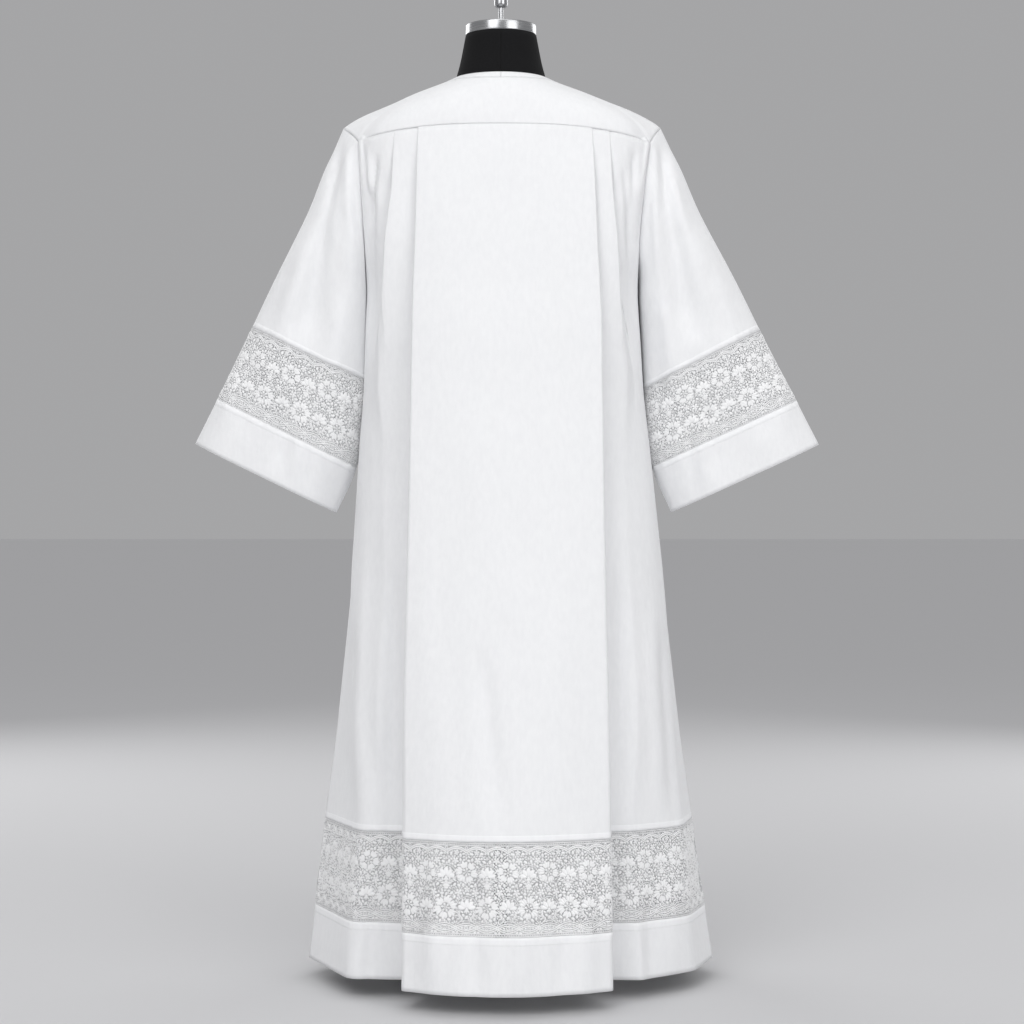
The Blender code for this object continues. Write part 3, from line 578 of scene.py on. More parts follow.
def yoke_line(k, side, face):
    """One line of the yoke from the neck ring out: its two ends, their slopes and its length."""
    angle = math.radians(float(np.interp(k, range(len(YOKE_ANGLES)), YOKE_ANGLES)))
    away = np.array((SIGN[side] * math.cos(angle), face * math.sin(angle), 0.0))
    start = away * NECK_RADIUS + np.array((0.0, 0.0, HEM + NECK_HEIGHT))
    finish = yoke_outer(k, side, face)
    length = float(np.linalg.norm(finish - start))
    turn = math.sin(angle) ** 2
    leave = away + np.array((0.0, 0.0, -YOKE_START_FALL - YOKE_BACK_FALL * turn))
    steep = min(1.0, k / 2.0)
    arrive = away * (1.0 - steep + YOKE_SEAM_REACH * steep)
    arrive[2] -= YOKE_ARM_FALL + YOKE_SEAM_FALL * steep
    leave *= length / np.linalg.norm(leave)
    arrive *= YOKE_SEAM_PULL * length / np.linalg.norm(arrive)
    edge = 0.0
    degrees = math.degrees(angle)
    if face > 0.0 and degrees > V_START:
        edge = V_DEPTH * ((degrees - V_START) / (90.0 - V_START)) ** V_POWER / length
    return start, leave, finish, arrive, length, edge


def yoke_ring(count_armhole, count_seam):
    """The places round the yoke, from the right shoulder over the back: (k, side, face)."""
    out = [2.0 * i / count_armhole for i in range(count_armhole)]
    out += [2.0 + (QUARTER - 2.0) * i / count_seam for i in range(count_seam)]
    back = [QUARTER - (QUARTER - 2.0) * i / count_seam for i in range(count_seam)]
    back += [2.0 - 2.0 * i / count_armhole for i in range(count_armhole)]
    ring = []
    for side_out, side_back, face in (("right", "left", BACK), ("left", "right", FRONT)):
        ring += [(k, side_out, face) for k in out] + [(k, side_back, face) for k in back]
    return ring


def sleeve_edge(side, face, place):
    """A point of the armhole. Place runs from 0 at the shoulder tip to 1 at the underarm."""
    top = BACK_SEAM if face < 0.0 else FRONT_SEAM
    levels = [top] + [level for level in (1.29, 1.243, 1.19, 1.143, 1.108, 1.085) if level < top] + [UNDERARM]
    spot = place * (len(levels) + 1.0)
    tip = yoke_outer(0.0, side, face)
    if spot < 2.0:
        point = yoke_outer(spot, side, face)
    else:
        point = side_end(float(np.interp(spot - 2.0, range(len(levels)), levels)), side, face)
    low = side_end(UNDERARM, side, face)
    share = (tip[2] - point[2]) / (tip[2] - low[2])
    if place >= 1.0:
        point[1] = 0.0
    point[0] += SIGN[side] * (SLEEVE_CLEAR + (UNDERARM_CLEAR - SLEEVE_CLEAR) * share)
    return point


def sleeve_ring(side, row, angles, wave):
    outer = np.array((SIGN[side] * row["outer_x"], 0.0, HEM + row["outer_h"]))
    inner = np.array((SIGN[side] * row["inner_x"], 0.0, HEM + row["inner_h"]))
    centre, half = (outer + inner) / 2.0, (outer - inner) / 2.0
    deep = np.sign(np.sin(angles)) * np.abs(np.sin(angles)) ** SLEEVE_ROUND
    ripple = wave * np.sin(angles) * np.cos(SLEEVE_WAVES * 2.0 * angles)
    ring = centre + half * np.cos(angles)[:, None]
    ring[:, 1] -= deep * row["half"] + ripple
    return ring


def through(rings, counts):
    """Rows on a smooth surface through rings of points, with a number of steps to each next ring."""
    stack = np.array(rings)
    middles = stack.mean(axis=1)
    spots = arc_lengths(middles)
    slopes = np.empty_like(stack)
    slopes[0] = (stack[1] - stack[0]) / (spots[1] - spots[0])
    slopes[-1] = (stack[-1] - stack[-2]) / (spots[-1] - spots[-2])
    for i in range(1, len(stack) - 1):
        before = (stack[i] - stack[i - 1]) / (spots[i] - spots[i - 1])
        after = (stack[i + 1] - stack[i]) / (spots[i + 1] - spots[i])
        share = (spots[i] - spots[i - 1]) / (spots[i + 1] - spots[i - 1])
        slopes[i] = before * (1.0 - share) + after * share
    rows = []
    for i, count in enumerate(counts):
        span = spots[i + 1] - spots[i]
        for j in range(count):
            rows.append(hermite(stack[i], slopes[i] * span, stack[i + 1], slopes[i + 1] * span, j / count))
    rows.append(stack[-1])
    return np.array(rows)


SLEEVE_COLUMNS_ROUND = 64


def sleeve_surface(side):
    """All of a sleeve, from the armhole to the cuff edge, with where its lace and its cuff start."""
    places = [i / SLEEVE_COLUMNS_ROUND for i in range(SLEEVE_COLUMNS_ROUND)]
    edge = [sleeve_edge(side, BACK, place) for place in places]
    edge += [sleeve_edge(side, FRONT, 1.0 - place) for place in places]
    angles = np.array([math.pi * place for place in places] + [math.pi * (1.0 + place) for place in places])
    rings = [np.array(edge)]
    names = [row["name"] for row in SLEEVES[side]]
    for index, row in enumerate(SLEEVES[side]):
        rings.append(sleeve_ring(side, row, angles, SLEEVE_WAVE * min(1.0, (index + 1) / 4.0)))
    counts = [SLEEVE_STEPS[name] for name in names]
    grid = through(rings, counts)
    outward = normals(grid, True, 1.0)
    centre = grid.mean(axis=1, keepdims=True)
    if np.mean(np.sum(outward * (grid - centre), axis=2)) < 0.0:
        outward = -outward
    height = grid[..., 2] - HEM
    behind = smooth(0.20, 0.70, -outward[..., 1])
    before = smooth(0.20, 0.70, outward[..., 1])
    rows = SLEEVE_CREASES[side]
    lift = crease_depth(grid[..., 0], height, rows) * behind
    lift += 0.85 * crease_depth(grid[..., 0] - SIGN[side] * 0.006, height + 0.018, rows) * before
    lift += soft_waves(grid, 31 if side == "left" else 37, 0.0012)
    down = np.concatenate(([0.0], np.cumsum(np.linalg.norm(np.diff(grid, axis=0), axis=2).mean(axis=1))))
    lift *= smooth(0.0, 0.035, down)[:, None]
    beside = 1.0 - smooth(0.0, 0.05, np.abs(grid[..., 0]) - 0.235)
    lift *= 1.0 - 0.8 * beside * smooth(0.2, 0.9, -outward[..., 0] * SIGN[side])
    outer = smooth(0.35, 0.80, outward[..., 0] * SIGN[side])
    lift = lift * (1.0 - 0.7 * outer) - TUCKED * outer * np.exp(-(((height - TUCKED_AT) / TUCKED_OVER) ** 2))
    starts = np.cumsum([0] + counts)
    around = np.array([arc_lengths(np.vstack((row, row[:1]))) for row in grid])
    for index, seed in ((starts[4], 41), (starts[5], 43)):
        lift += pucker(around[:, :-1], (down - down[index])[:, None], seed)
    hung = grid + outward * lift[..., None]
    return leaning(hung, outward, height, side), outward, starts, around


def leaning(grid, outward, height, side):
    """The sleeve with its inner edge moved over to the body, as far as it leans on it."""
    beside = np.interp(height, *zip(*sorted((row["height"], row["side"]) for row in SECTIONS[side])))
    inward = smooth(0.0, 0.8, -outward[..., 0] * SIGN[side])
    open_to = np.clip(np.abs(grid[..., 0]) - beside - LEANING_CLEAR, 0.0, LEANING[side])
    moved = grid.copy()
    moved[..., 0] -= SIGN[side] * open_to * inward * between(height, LEANING_FROM, LEANING_TO)
    near = 1.0 - smooth(0.0, 0.030, np.abs(grid[..., 0]) - beside)
    behind = smooth(0.002, 0.030, -grid[..., 1]) * smooth(0.0, 0.35, -outward[..., 1])
    moved[..., 1] -= FULLER[side] * near * behind * between(height, FULLER_FROM, FULLER_TO)
    return moved


def between(height, start, finish):
    """1 between two heights, fading to 0 over the first pair, at the top, and the second, at the foot."""
    return (1.0 - smooth(start[1], start[0], height)) * smooth(finish[1], finish[0], height)


# Building pieces.


def hang(name, vertices, faces, look, smooth_faces=True, uv=None):
    """A mesh piece that rides on the body."""
    mesh = bpy.data.meshes.new(name)
    mesh.from_pydata([tuple(map(float, point)) for point in vertices], [], faces)
    mesh.update()
    if uv is not None:
        layer = mesh.uv_layers.new(name="cloth")
        corners = np.empty(len(mesh.loops), dtype=np.int32)
        mesh.loops.foreach_get("vertex_index", corners)
        layer.data.foreach_set("uv", np.asarray(uv, dtype=np.float32)[corners].ravel())
    if smooth_faces:
        mesh.shade_smooth()
    mesh.materials.append(look)
    item = bpy.data.objects.new(name, mesh)
    bpy.context.scene.collection.objects.link(item)
    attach(item, "root")
    return item


def shell(name, grid, outward, look, thick, uv=None, closed=False):
    """A piece of cloth through a grid of points, with its own thickness."""
    rows, columns = grid.shape[:2]
    points = grid
    if closed:
        points = np.concatenate((grid, grid[:, :1]), axis=1)
        columns += 1
    if uv is None:
        across = arc_lengths(points[rows // 2])
        down = arc_lengths(points[:, columns // 4])
        uv = np.dstack(np.meshgrid(across, -down))
    index = np.arange(rows * columns).reshape(rows, columns)
    a, b = index[:-1, :-1].ravel(), index[1:, :-1].ravel()
    c, d = index[1:, 1:].ravel(), index[:-1, 1:].ravel()
    row, column = rows // 3, columns // 3
    corner = points[row, column]
    facing = np.cross(points[row + 1, column] - corner, points[row, column + 1] - corner)
    if float(np.dot(facing, outward[row, column])) < 0.0:
        a, b, c, d = d, c, b, a
    faces = list(zip(a.tolist(), b.tolist(), c.tolist(), d.tolist()))
    item = hang(name, points.reshape(-1, 3), faces, look, uv=uv.reshape(-1, 2))
    if closed:
        weld = item.modifiers.new("closing", "WELD")
        weld.merge_threshold = 0.00005
    if thick:
        wall = item.modifiers.new("thickness", "SOLIDIFY")
        wall.thickness = thick
        wall.offset = 0.0
    return item


def cloth_area(grid):
    first = np.cross(grid[1:, 1:] - grid[:-1, :-1], grid[:-1, 1:] - grid[1:, :-1])
    return float(np.linalg.norm(first, axis=2).sum() / 2.0)


def declare(grid, closed=False):
    """Works out the cut of a piece, its widest row by its longest column and its area laid flat, and keeps none of it.
    """
    points = np.concatenate((grid, grid[:, :1]), axis=1) if closed else grid
    width = max(arc_lengths(row)[-1] for row in points)
    length = max(arc_lengths(points[:, column])[-1] for column in range(points.shape[1]))
    area = cloth_area(points)
    area = max(0.31 * width * length, min(area, width * length))
    flat = (round(float(width), 3), max(0.012, round(float(length), 3)))
    area = min(area, flat[0] * flat[1])


# Procedural materials.


class Look:
    """A Principled material with helpers for its nodes."""

    def __init__(self, name, colour, roughness, metallic=0.0):
        self.material = bpy.data.materials.new(name)
        self.material.use_nodes = True
        self.tree = self.material.node_tree
        self.shader = self.tree.nodes["Principled BSDF"]
        self.shader.inputs["Base Color"].default_value = (*colour, 1.0)
        self.shader.inputs["Roughness"].default_value = roughness
        self.shader.inputs["Metallic"].default_value = metallic
        self.material.diffuse_color = (*colour, 1.0)

    def node(self, kind, **values):
        made = self.tree.nodes.new(kind)
        for name, value in values.items():
            setattr(made, name, value)
        return made

    def join(self, source, target):
        self.tree.links.new(source, target)

    def math(self, operation, first, second=None, third=None):
        made = self.node("ShaderNodeMath", operation=operation)
        for slot, value in enumerate((first, second, third)):
            if value is None:
                continue
            if isinstance(value, (int, float)):
                made.inputs[slot].default_value = value
            else:
                self.join(value, made.inputs[slot])
        return made.outputs[0]

    def uv(self):
        split = self.node("ShaderNodeSeparateXYZ")
        self.join(self.node("ShaderNodeTexCoord").outputs["UV"], split.inputs[0])
        return split.outputs[0], split.outputs[1]

    def noise(self, scale, detail=2.0, stretch=(1.0, 1.0, 1.0), source="Object"):
        spread_out = self.node("ShaderNodeMapping")
        spread_out.inputs["Scale"].default_value = stretch
        self.join(self.node("ShaderNodeTexCoord").outputs[source], spread_out.inputs["Vector"])
        made = self.node("ShaderNodeTexNoise")
        made.inputs["Scale"].default_value = scale
        made.inputs["Detail"].default_value = detail
        self.join(spread_out.outputs[0], made.inputs["Vector"])
        return made.outputs["Fac"]

    def off_centre(self):
        """The distance from the centre plane."""
        split = self.node("ShaderNodeSeparateXYZ")
        self.join(self.node("ShaderNodeTexCoord").outputs["Object"], split.inputs[0])
        return self.math("ABSOLUTE", split.outputs[0])

    def ranged(self, value, from_low, from_high, to_low, to_high):
        made = self.node("ShaderNodeMapRange")
        for slot, number in zip(("From Min", "From Max", "To Min", "To Max"), (from_low, from_high, to_low, to_high)):
            made.inputs[slot].default_value = number
        self.join(value, made.inputs["Value"])
        return made.outputs["Result"]

    def colours(self, fac, low, high):
        made = self.node("ShaderNodeMix", data_type="RGBA")
        self.join(fac, made.inputs["Factor"])
        sockets = [socket for socket in made.inputs if socket.type == "RGBA"]
        sockets[0].default_value = (*low, 1.0)
        sockets[1].default_value = (*high, 1.0)
        result = next(socket for socket in made.outputs if socket.type == "RGBA")
        self.join(result, self.shader.inputs["Base Color"])
        return made

    def bumps(self, layers):
        """Stacks bump maps, each a height and its distance in metres."""
        last = None
        for height, distance in layers:
            made = self.node("ShaderNodeBump")
            made.inputs["Strength"].default_value = 1.0
            made.inputs["Distance"].default_value = distance
            self.join(height, made.inputs["Height"])
            if last:
                self.join(last, made.inputs["Normal"])
            last = made.outputs["Normal"]
        self.join(last, self.shader.inputs["Normal"])


THREAD = 0.0011
NET_PITCH = 0.0031
NET_HOLE = 0.39


def weave(look, pitch):
    """Plain weave: threads over and under each other, along the cloth's own two ways."""
    u, v = look.uv()
    warp = look.math("SINE", look.math("MULTIPLY", u, math.pi / pitch))
    weft = look.math("SINE", look.math("MULTIPLY", v, math.pi / pitch))
    return look.math("MULTIPLY", warp, weft)


def cotton(name, bright=1.0, seam=False):
    """Matt white cotton. With a seam it has a line of stitching on the centre plane."""
    look = Look(name, (0.86 * bright, 0.865 * bright, 0.875 * bright), 0.88)
    slub = look.noise(160.0, 3.0, (1.0, 1.0, 0.35))
    soft = look.noise(22.0, 3.0)
    creased = look.noise(70.0, 4.0, (1.0, 1.0, 0.6))
    look.colours(
        look.ranged(slub, 0.3, 0.7, 0.0, 1.0),
        (0.845 * bright, 0.85 * bright, 0.862 * bright),
        (0.875 * bright, 0.88 * bright, 0.89 * bright),
    )
    look.join(look.ranged(slub, 0.3, 0.7, 0.82, 0.94), look.shader.inputs["Roughness"])
    look.shader.inputs["Sheen Weight"].default_value = 0.10
    layers = [(soft, 0.0010), (creased, 0.0004), (slub, 0.0002), (weave(look, THREAD), 0.00006)]
    if seam:
        layers.append((look.ranged(look.off_centre(), 0.0, 0.0009, 0.0, 1.0), 0.0009))
    look.bumps(layers)
    return look.material


def net():
    look = Look("lace net", (0.88, 0.884, 0.89), 0.86)
    u, v = look.uv()
    turned_u = look.math("ADD", u, v)
    turned_v = look.math("SUBTRACT", u, v)
    cell = NET_PITCH * math.sqrt(2.0)
    parts = []
    for way in (turned_u, turned_v):
        wrapped = look.math("FRACT", look.math("DIVIDE", way, cell))
        parts.append(look.math("SUBTRACT", wrapped, 0.5))
    squares = [look.math("MULTIPLY", part, part) for part in parts]
    distance = look.math("SQRT", look.math("ADD", squares[0], squares[1]))
    look.join(look.ranged(distance, NET_HOLE - 0.05, NET_HOLE + 0.03, 0.0, 1.0), look.shader.inputs["Alpha"])
    twist = look.noise(900.0, 2.0)
    # Painted shade: the net is coloured grey, well below the white of the lace thread, for the shaded grey look of the
    # open net. The noise only varies that grey at random.
    look.colours(look.ranged(twist, 0.3, 0.7, 0.0, 1.0), (0.63, 0.635, 0.645), (0.78, 0.785, 0.795))
    look.bumps(((distance, 0.0004), (twist, 0.0002)))
    return look.material


def lace_thread():
    look = Look("lace thread", (0.90, 0.903, 0.908), 0.82)
    worked = look.noise(620.0, 3.0, (1.0, 1.0, 1.8))
    look.colours(look.ranged(worked, 0.3, 0.7, 0.0, 1.0), (0.92, 0.923, 0.928), (0.96, 0.962, 0.965))
    look.shader.inputs["Sheen Weight"].default_value = 0.10
    look.bumps(((worked, 0.0003),))
    return look.material


def jersey():
    """Black jersey with a seam on the centre plane."""
    look = Look("black jersey", (0.007, 0.007, 0.008), 1.0)
    column = look.noise(700.0, 2.0, (1.0, 1.0, 0.15))
    fuzz = look.noise(1500.0, 2.0)
    look.colours(look.ranged(fuzz, 0.3, 0.7, 0.0, 1.0), (0.004, 0.004, 0.0045), (0.010, 0.010, 0.011))
    look.shader.inputs["Specular IOR Level"].default_value = 0.25
    seam = look.ranged(look.off_centre(), 0.0, 0.0011, 0.0, 1.0)
    look.bumps(((column, 0.0003), (fuzz, 0.0002), (seam, 0.0012)))
    return look.material


def steel():
    """Steel brushed round and round."""
    look = Look("brushed steel", (0.45, 0.455, 0.465), 0.3, 1.0)
    brushed = look.noise(900.0, 3.0, (0.02, 0.02, 1.0))
    look.colours(look.ranged(brushed, 0.3, 0.7, 0.0, 1.0), (0.40, 0.405, 0.415), (0.50, 0.505, 0.515))
    look.join(look.ranged(brushed, 0.3, 0.7, 0.20, 0.30), look.shader.inputs["Roughness"])
    look.bumps(((brushed, 0.00002),))
    return look.material


def black_metal():
    look = Look("black metal", (0.02, 0.02, 0.022), 0.45, 0.6)
    grain = look.noise(900.0, 3.0)
    worn = look.noise(14.0, 4.0)
    look.colours(look.ranged(worn, 0.35, 0.7, 0.0, 1.0), (0.014, 0.014, 0.016), (0.035, 0.035, 0.038))
    look.join(look.ranged(worn, 0.3, 0.7, 0.36, 0.55), look.shader.inputs["Roughness"])
    look.bumps(((grain, 0.0002),))
    return look.material


# Lace motifs, drawn for one repeat in metres: along the band, up the band, and lift off the net.

REPEAT = 0.0640
LACE_HEIGHT = 0.139


class Drawing:
    """Raised threads and petals, kept as points (u, v, lift) and faces."""

    def __init__(self):
        self.points = []
        self.faces = []

    def strip(self, line, wide, lift):
        """A cord along a line, highest in its middle."""
        line = np.array(line)
        along = np.gradient(line, axis=0)
        along /= np.maximum(np.linalg.norm(along, axis=1, keepdims=True), 1e-9)
        side = np.column_stack((-along[:, 1], along[:, 0])) * wide / 2.0
        first = len(self.points)
        for point, across in zip(line, side):
            self.points += [(*(point - across), 0.0), (*point, lift), (*(point + across), 0.0)]
        for i in range(len(line) - 1):
            a = first + 3 * i
            self.faces += [(a, a + 3, a + 4, a + 1), (a + 1, a + 4, a + 5, a + 2)]

    def petal(self, base, angle, length, wide, lift, steps=6, blunt=0.75, low=0.0):
        """A leaf or petal with a raised rim and a dip along its middle. Blunt ones are round at the tip."""
        ahead = np.array((math.sin(angle), math.cos(angle)))
        side = np.array((ahead[1], -ahead[0]))
        first = len(self.points)
        for i in range(steps + 1):
            share = i / steps
            half = wide / 2.0 * math.sin(math.pi * share ** blunt) ** 0.65 if 0 < i < steps else 0.0005
            middle = np.array(base) + ahead * length * share
            height = lift * math.sin(math.pi * min(1.0, share + 0.08)) ** 0.5 if i < steps else 0.0
            for offset, rise in ((-1.0, 0.0), (-0.66, 1.0), (0.0, 0.55), (0.66, 1.0), (1.0, 0.0)):
                self.points.append((*(middle + side * half * offset), low + height * rise))
        for i in range(steps):
            for j in range(4):
                a = first + 5 * i + j
                self.faces.append((a, a + 5, a + 6, a + 1))

    def dot(self, centre, radius, lift, sides=8):
        first = len(self.points)
        self.points.append((*centre, lift))
        for i in range(sides):
            angle = math.tau * i / sides
            self.points.append((centre[0] + radius * math.cos(angle), centre[1] + radius * math.sin(angle), 0.0))
        for i in range(sides):
            self.faces.append((first, first + 1 + i, first + 1 + (i + 1) % sides))

    def ring(self, centre, radius, wide, lift, sides=16):
        angles = [math.tau * i / sides for i in range(sides + 1)]
        spots = [(centre[0] + radius * math.cos(a), centre[1] + radius * math.sin(a)) for a in angles]
        self.strip(spots, wide, lift)


def arc(start, finish, bow, steps=12):
    """A curved line from start to finish, bowed out to its left."""
    start, finish = np.array(start), np.array(finish)
    way = finish - start
    out = np.array((-way[1], way[0]))
    return [start + way * s + out * bow * 4.0 * s * (1.0 - s) for s in np.linspace(0.0, 1.0, steps + 1)]


def flower(drawing, centre, size, petals=5, turn=0.0):
    for i in range(petals):
        angle = turn + math.tau * i / petals
        base = (centre[0] + 0.16 * size * math.sin(angle), centre[1] + 0.16 * size * math.cos(angle))
        drawing.petal(base, angle, size * 0.84, size * 3.4 / petals, 0.0009, 3, 1.3)
    drawing.dot(centre, size * 0.24, 0.0013, 8)


def rose(drawing, centre, size, turn=0.0):
    """A round blossom seen from the front: petals of three lobes round a small ring of petals."""
    for i in range(6):
        angle = turn + math.tau * i / 6.0
        for lean, reach in ((-0.29, 0.88), (0.0, 1.0), (0.29, 0.88)):
            way = np.array((math.sin(angle + lean), math.cos(angle + lean)))
            base = np.array(centre) + way * size * 0.36
            drawing.petal(base, angle + lean, size * (reach - 0.36), size * 0.275, 0.0009, 3, 1.25)
    for i in range(6):
        angle = turn + 0.5 + math.tau * i / 6.0
        way = np.array((math.sin(angle), math.cos(angle)))
        drawing.petal(np.array(centre) + way * size * 0.13, angle, size * 0.24, size * 0.20, 0.0010, 3, 1.3)
    drawing.ring(centre, size * 0.085, 0.0012, 0.0012, 7)


def blossom(drawing, base, size, lean=0.0):
    """A blossom seen from its side: round petals spread from a calyx, under a scalloped row of cord."""
    def spot(degrees, reach):
        angle = math.radians(degrees + lean)
        return base[0] + reach * math.sin(angle), base[1] + reach * math.cos(angle)

    for degrees in (-72.0, 72.0, -37.0, 37.0, 0.0):
        length = size * (0.80 - 0.0014 * abs(degrees))
        angle = math.radians(degrees + lean)
        drawing.petal(spot(degrees, 0.16 * size), angle, length, size * 0.42, 0.0010, 4, 1.3)
    tips = [spot(degrees, size * (1.13 - 0.0014 * abs(degrees))) for degrees in (-88, -54, -19, 19, 54, 88)]
    for first, second in zip(tips, tips[1:]):
        drawing.strip(arc(first, second, 0.15, 6), 0.0012, 0.0008)
    drawing.dot(spot(0.0, 0.02 * size), size * 0.13, 0.0016, 8)
    for degrees in (-140.0, 140.0, 180.0):
        drawing.petal(spot(degrees, 0.06 * size), math.radians(degrees + lean), size * 0.32, size * 0.17, 0.0008, 4)


def curl(drawing, centre, radius, start, hand):
    """A tendril that winds in on itself."""
    line = []
    for i in range(15):
        angle = math.radians(start) + hand * 1.55 * math.pi * i / 14.0
        reach = radius * (1.0 - 0.62 * i / 14.0)
        line.append((centre[0] + reach * math.cos(angle), centre[1] + reach * math.sin(angle)))
    drawing.strip(line, 0.0012, 0.0009)


def scallop(share, low, deep):
    """How far a scallop lies from the edge: least at its belly, most where two scallops meet."""
    return deep - (deep - low) * abs(math.sin(math.pi * share)) ** 0.8


def edging(drawing, edge, way):
    """Two straight cords along an edge of the lace, with beads between them."""
    for level in (0.0010, 0.0046):
        drawing.strip([(REPEAT * i / 8.0, edge + way * level) for i in range(9)], 0.0012, 0.0008)
    for i in range(18):
        drawing.dot((REPEAT * (i + 0.5) / 18.0, edge + way * 0.0028), 0.0009, 0.0007, 5)


def upper_border(drawing):
    """Small scallops with a sprig and a ring in each, two to the repeat."""
    edging(drawing, LACE_HEIGHT, -1.0)
    for low, deep in SCALLOPS:
        line = [(REPEAT * i / 28.0, LACE_HEIGHT - scallop(i / 14.0, low, deep)) for i in range(29)]
        drawing.strip(line, 0.0021, 0.0012)
    for i in range(2):
        meeting, belly = REPEAT * i / 2.0, REPEAT * (i + 0.5) / 2.0
        drawing.ring((meeting, LACE_HEIGHT - 0.0078), 0.0019, 0.0013, 0.0010, 9)
        flower(drawing, (belly, LACE_HEIGHT - 0.0150), 0.0046, 5, 0.3 * i)
        for lean in (-55.0, 0.0, 55.0):
            angle = math.pi + math.radians(lean)
            spot = (meeting + 0.0025 * math.sin(angle), LACE_HEIGHT - 0.0185 + 0.0025 * math.cos(angle))
            drawing.petal(spot, angle, 0.0052, 0.0026, 0.0008, 3, 0.9)


def lower_border(drawing):
    """Two waves of doubled cord that cross, with a ring in each eye and fans of sprigs below."""
    edging(drawing, 0.0, 1.0)
    for turn in (0.0, 0.5):
        for apart in (-WAVE_APART / 2.0, WAVE_APART / 2.0):
            line = []
            for i in range(25):
                swing = math.cos(math.tau * (i / 24.0 + turn))
                line.append((REPEAT * i / 24.0, WAVE_AT + WAVE_SWING * swing + apart))
            drawing.strip(line, 0.0018, 0.0012)
    for i in range(2):
        across = REPEAT * (i + 1.0) / 2.0
        drawing.ring((across, WAVE_AT), 0.0026, 0.0013, 0.0010, 10)
        drawing.dot((across, WAVE_AT), 0.0010, 0.0010, 6)
        crossing = across - REPEAT / 4.0
        for lean in (-60.0, -20.0, 20.0, 60.0):
            angle = math.radians(lean)
            spot = (crossing + 0.0022 * math.sin(angle), WAVE_AT + 0.0044 + 0.0022 * math.cos(angle))
            drawing.petal(spot, angle, 0.0046, 0.0022, 0.0008, 3, 0.9)


def leafy(drawing, line, leaf, wide, step):
    """A cord with pairs of leaves along it."""
    drawing.strip(line, 0.0011, 0.0009)
    line = np.array(line)
    for i in range(step, len(line), step):
        way = line[i] - line[i - 1]
        angle = math.atan2(way[0], way[1])
        for hand in (-1.0, 1.0):
            lean = angle + hand * 0.85
            spot = line[i] + 0.0009 * np.array((math.sin(lean), math.cos(lean)))
            drawing.petal(spot, lean, leaf, wide, 0.0008, 3, 0.9)


# The motifs of one repeat. Places across are shares of the repeat, and the rest is in metres and degrees.
SCALLOPS = ((0.0066, 0.0125), (0.0092, 0.0158))
WAVE_AT = 0.0130
WAVE_SWING = 0.0052
WAVE_APART = 0.0030
ROSES = ((0.500, 0.0425, 0.0190, 12.0), (0.000, 0.0950, 0.0180, -20.0))
BLOSSOMS = ((0.000, 0.0400, 0.0165, 0.0), (0.500, 0.0870, 0.0165, 0.0))
BRANCHES = (
    (0.000, 0.0230, 0.200, 0.0400, -0.25, 0.0050, 0.0026),
    (0.000, 0.0230, -0.200, 0.0400, 0.25, 0.0050, 0.0026),
    (0.500, 0.0660, 0.240, 0.0860, -0.22, 0.0054, 0.0028),
    (0.500, 0.0660, 0.760, 0.0860, 0.22, 0.0054, 0.0028),
)
BRANCH_STEPS = 10
SPRAYS = (
    (0.200, 0.0650, 0.0062, 30.0), (0.800, 0.0650, 0.0062, -30.0), (0.000, 0.0700, 0.0050, 0.0),
    (0.270, 0.1120, 0.0056, 180.0), (0.730, 0.1120, 0.0056, 180.0), (0.500, 0.0740, 0.0050, 0.0),
)
CURLS = ((0.330, 0.0700, 0.0030, 200.0, -1.0), (0.670, 0.0700, 0.0030, -20.0, 1.0))
FILL_CELL = 0.0006
FILL_LEAST = 0.0009
FILL_MOST = 0.0032
FILL_GAP = 0.0006
FILL_LOW = 0.0064
FILL_HIGH = 0.0070
FILL_COUNT = 200


def fill(drawing, seed=3):
    """Small leaves in the open net between the motifs, the widest places first."""
    drawn = random.Random(seed)
    across = np.arange(0.0, REPEAT, FILL_CELL)
    up = np.arange(FILL_LOW, LACE_HEIGHT - FILL_HIGH, FILL_CELL)
    spots = np.dstack(np.meshgrid(across, up)).reshape(-1, 2)

    def free_from(points):
        nearest = np.full(len(spots), 1.0)
        for point in points:
            dx = np.abs(spots[:, 0] - point[0] % REPEAT)
            dx = np.minimum(dx, REPEAT - dx)
            nearest = np.minimum(nearest, np.hypot(dx, spots[:, 1] - point[1]))
        return nearest

    open_to = free_from(drawing.points)
    for _ in range(FILL_COUNT):
        best = int(open_to.argmax())
        room = open_to[best]
        if room < FILL_LEAST:
            break
        size = min(room - FILL_GAP / 2.0, FILL_MOST)
        angle = drawn.uniform(0.0, math.tau)
        ahead = np.array((math.sin(angle), math.cos(angle)))
        first = len(drawing.points)
        drawing.petal(spots[best] - ahead * size, angle, 2.0 * size, 1.45 * size, 0.0009, 3, 0.9)
        open_to = np.minimum(open_to, free_from(drawing.points[first:]))


def one_repeat():
    drawing = Drawing()
    lower_border(drawing)
    upper_border(drawing)
    for across, up, size, degrees in ROSES:
        rose(drawing, (REPEAT * across, up), size, math.radians(degrees))
    for across, up, size, degrees in BLOSSOMS:
        blossom(drawing, (REPEAT * across, up), size, degrees)
    for across, up, to_across, to_up, bow, leaf, wide in BRANCHES:
        line = arc((REPEAT * across, up), (REPEAT * to_across, to_up), bow, BRANCH_STEPS)
        leafy(drawing, line, leaf, wide, 2)
    for across, up, size, degrees in SPRAYS:
        flower(drawing, (REPEAT * across, up), size, 5, math.radians(degrees))
    for across, up, radius, start, hand in CURLS:
        curl(drawing, (REPEAT * across, up), radius, start, hand)
    fill(drawing)
    return np.array(drawing.points), drawing.faces


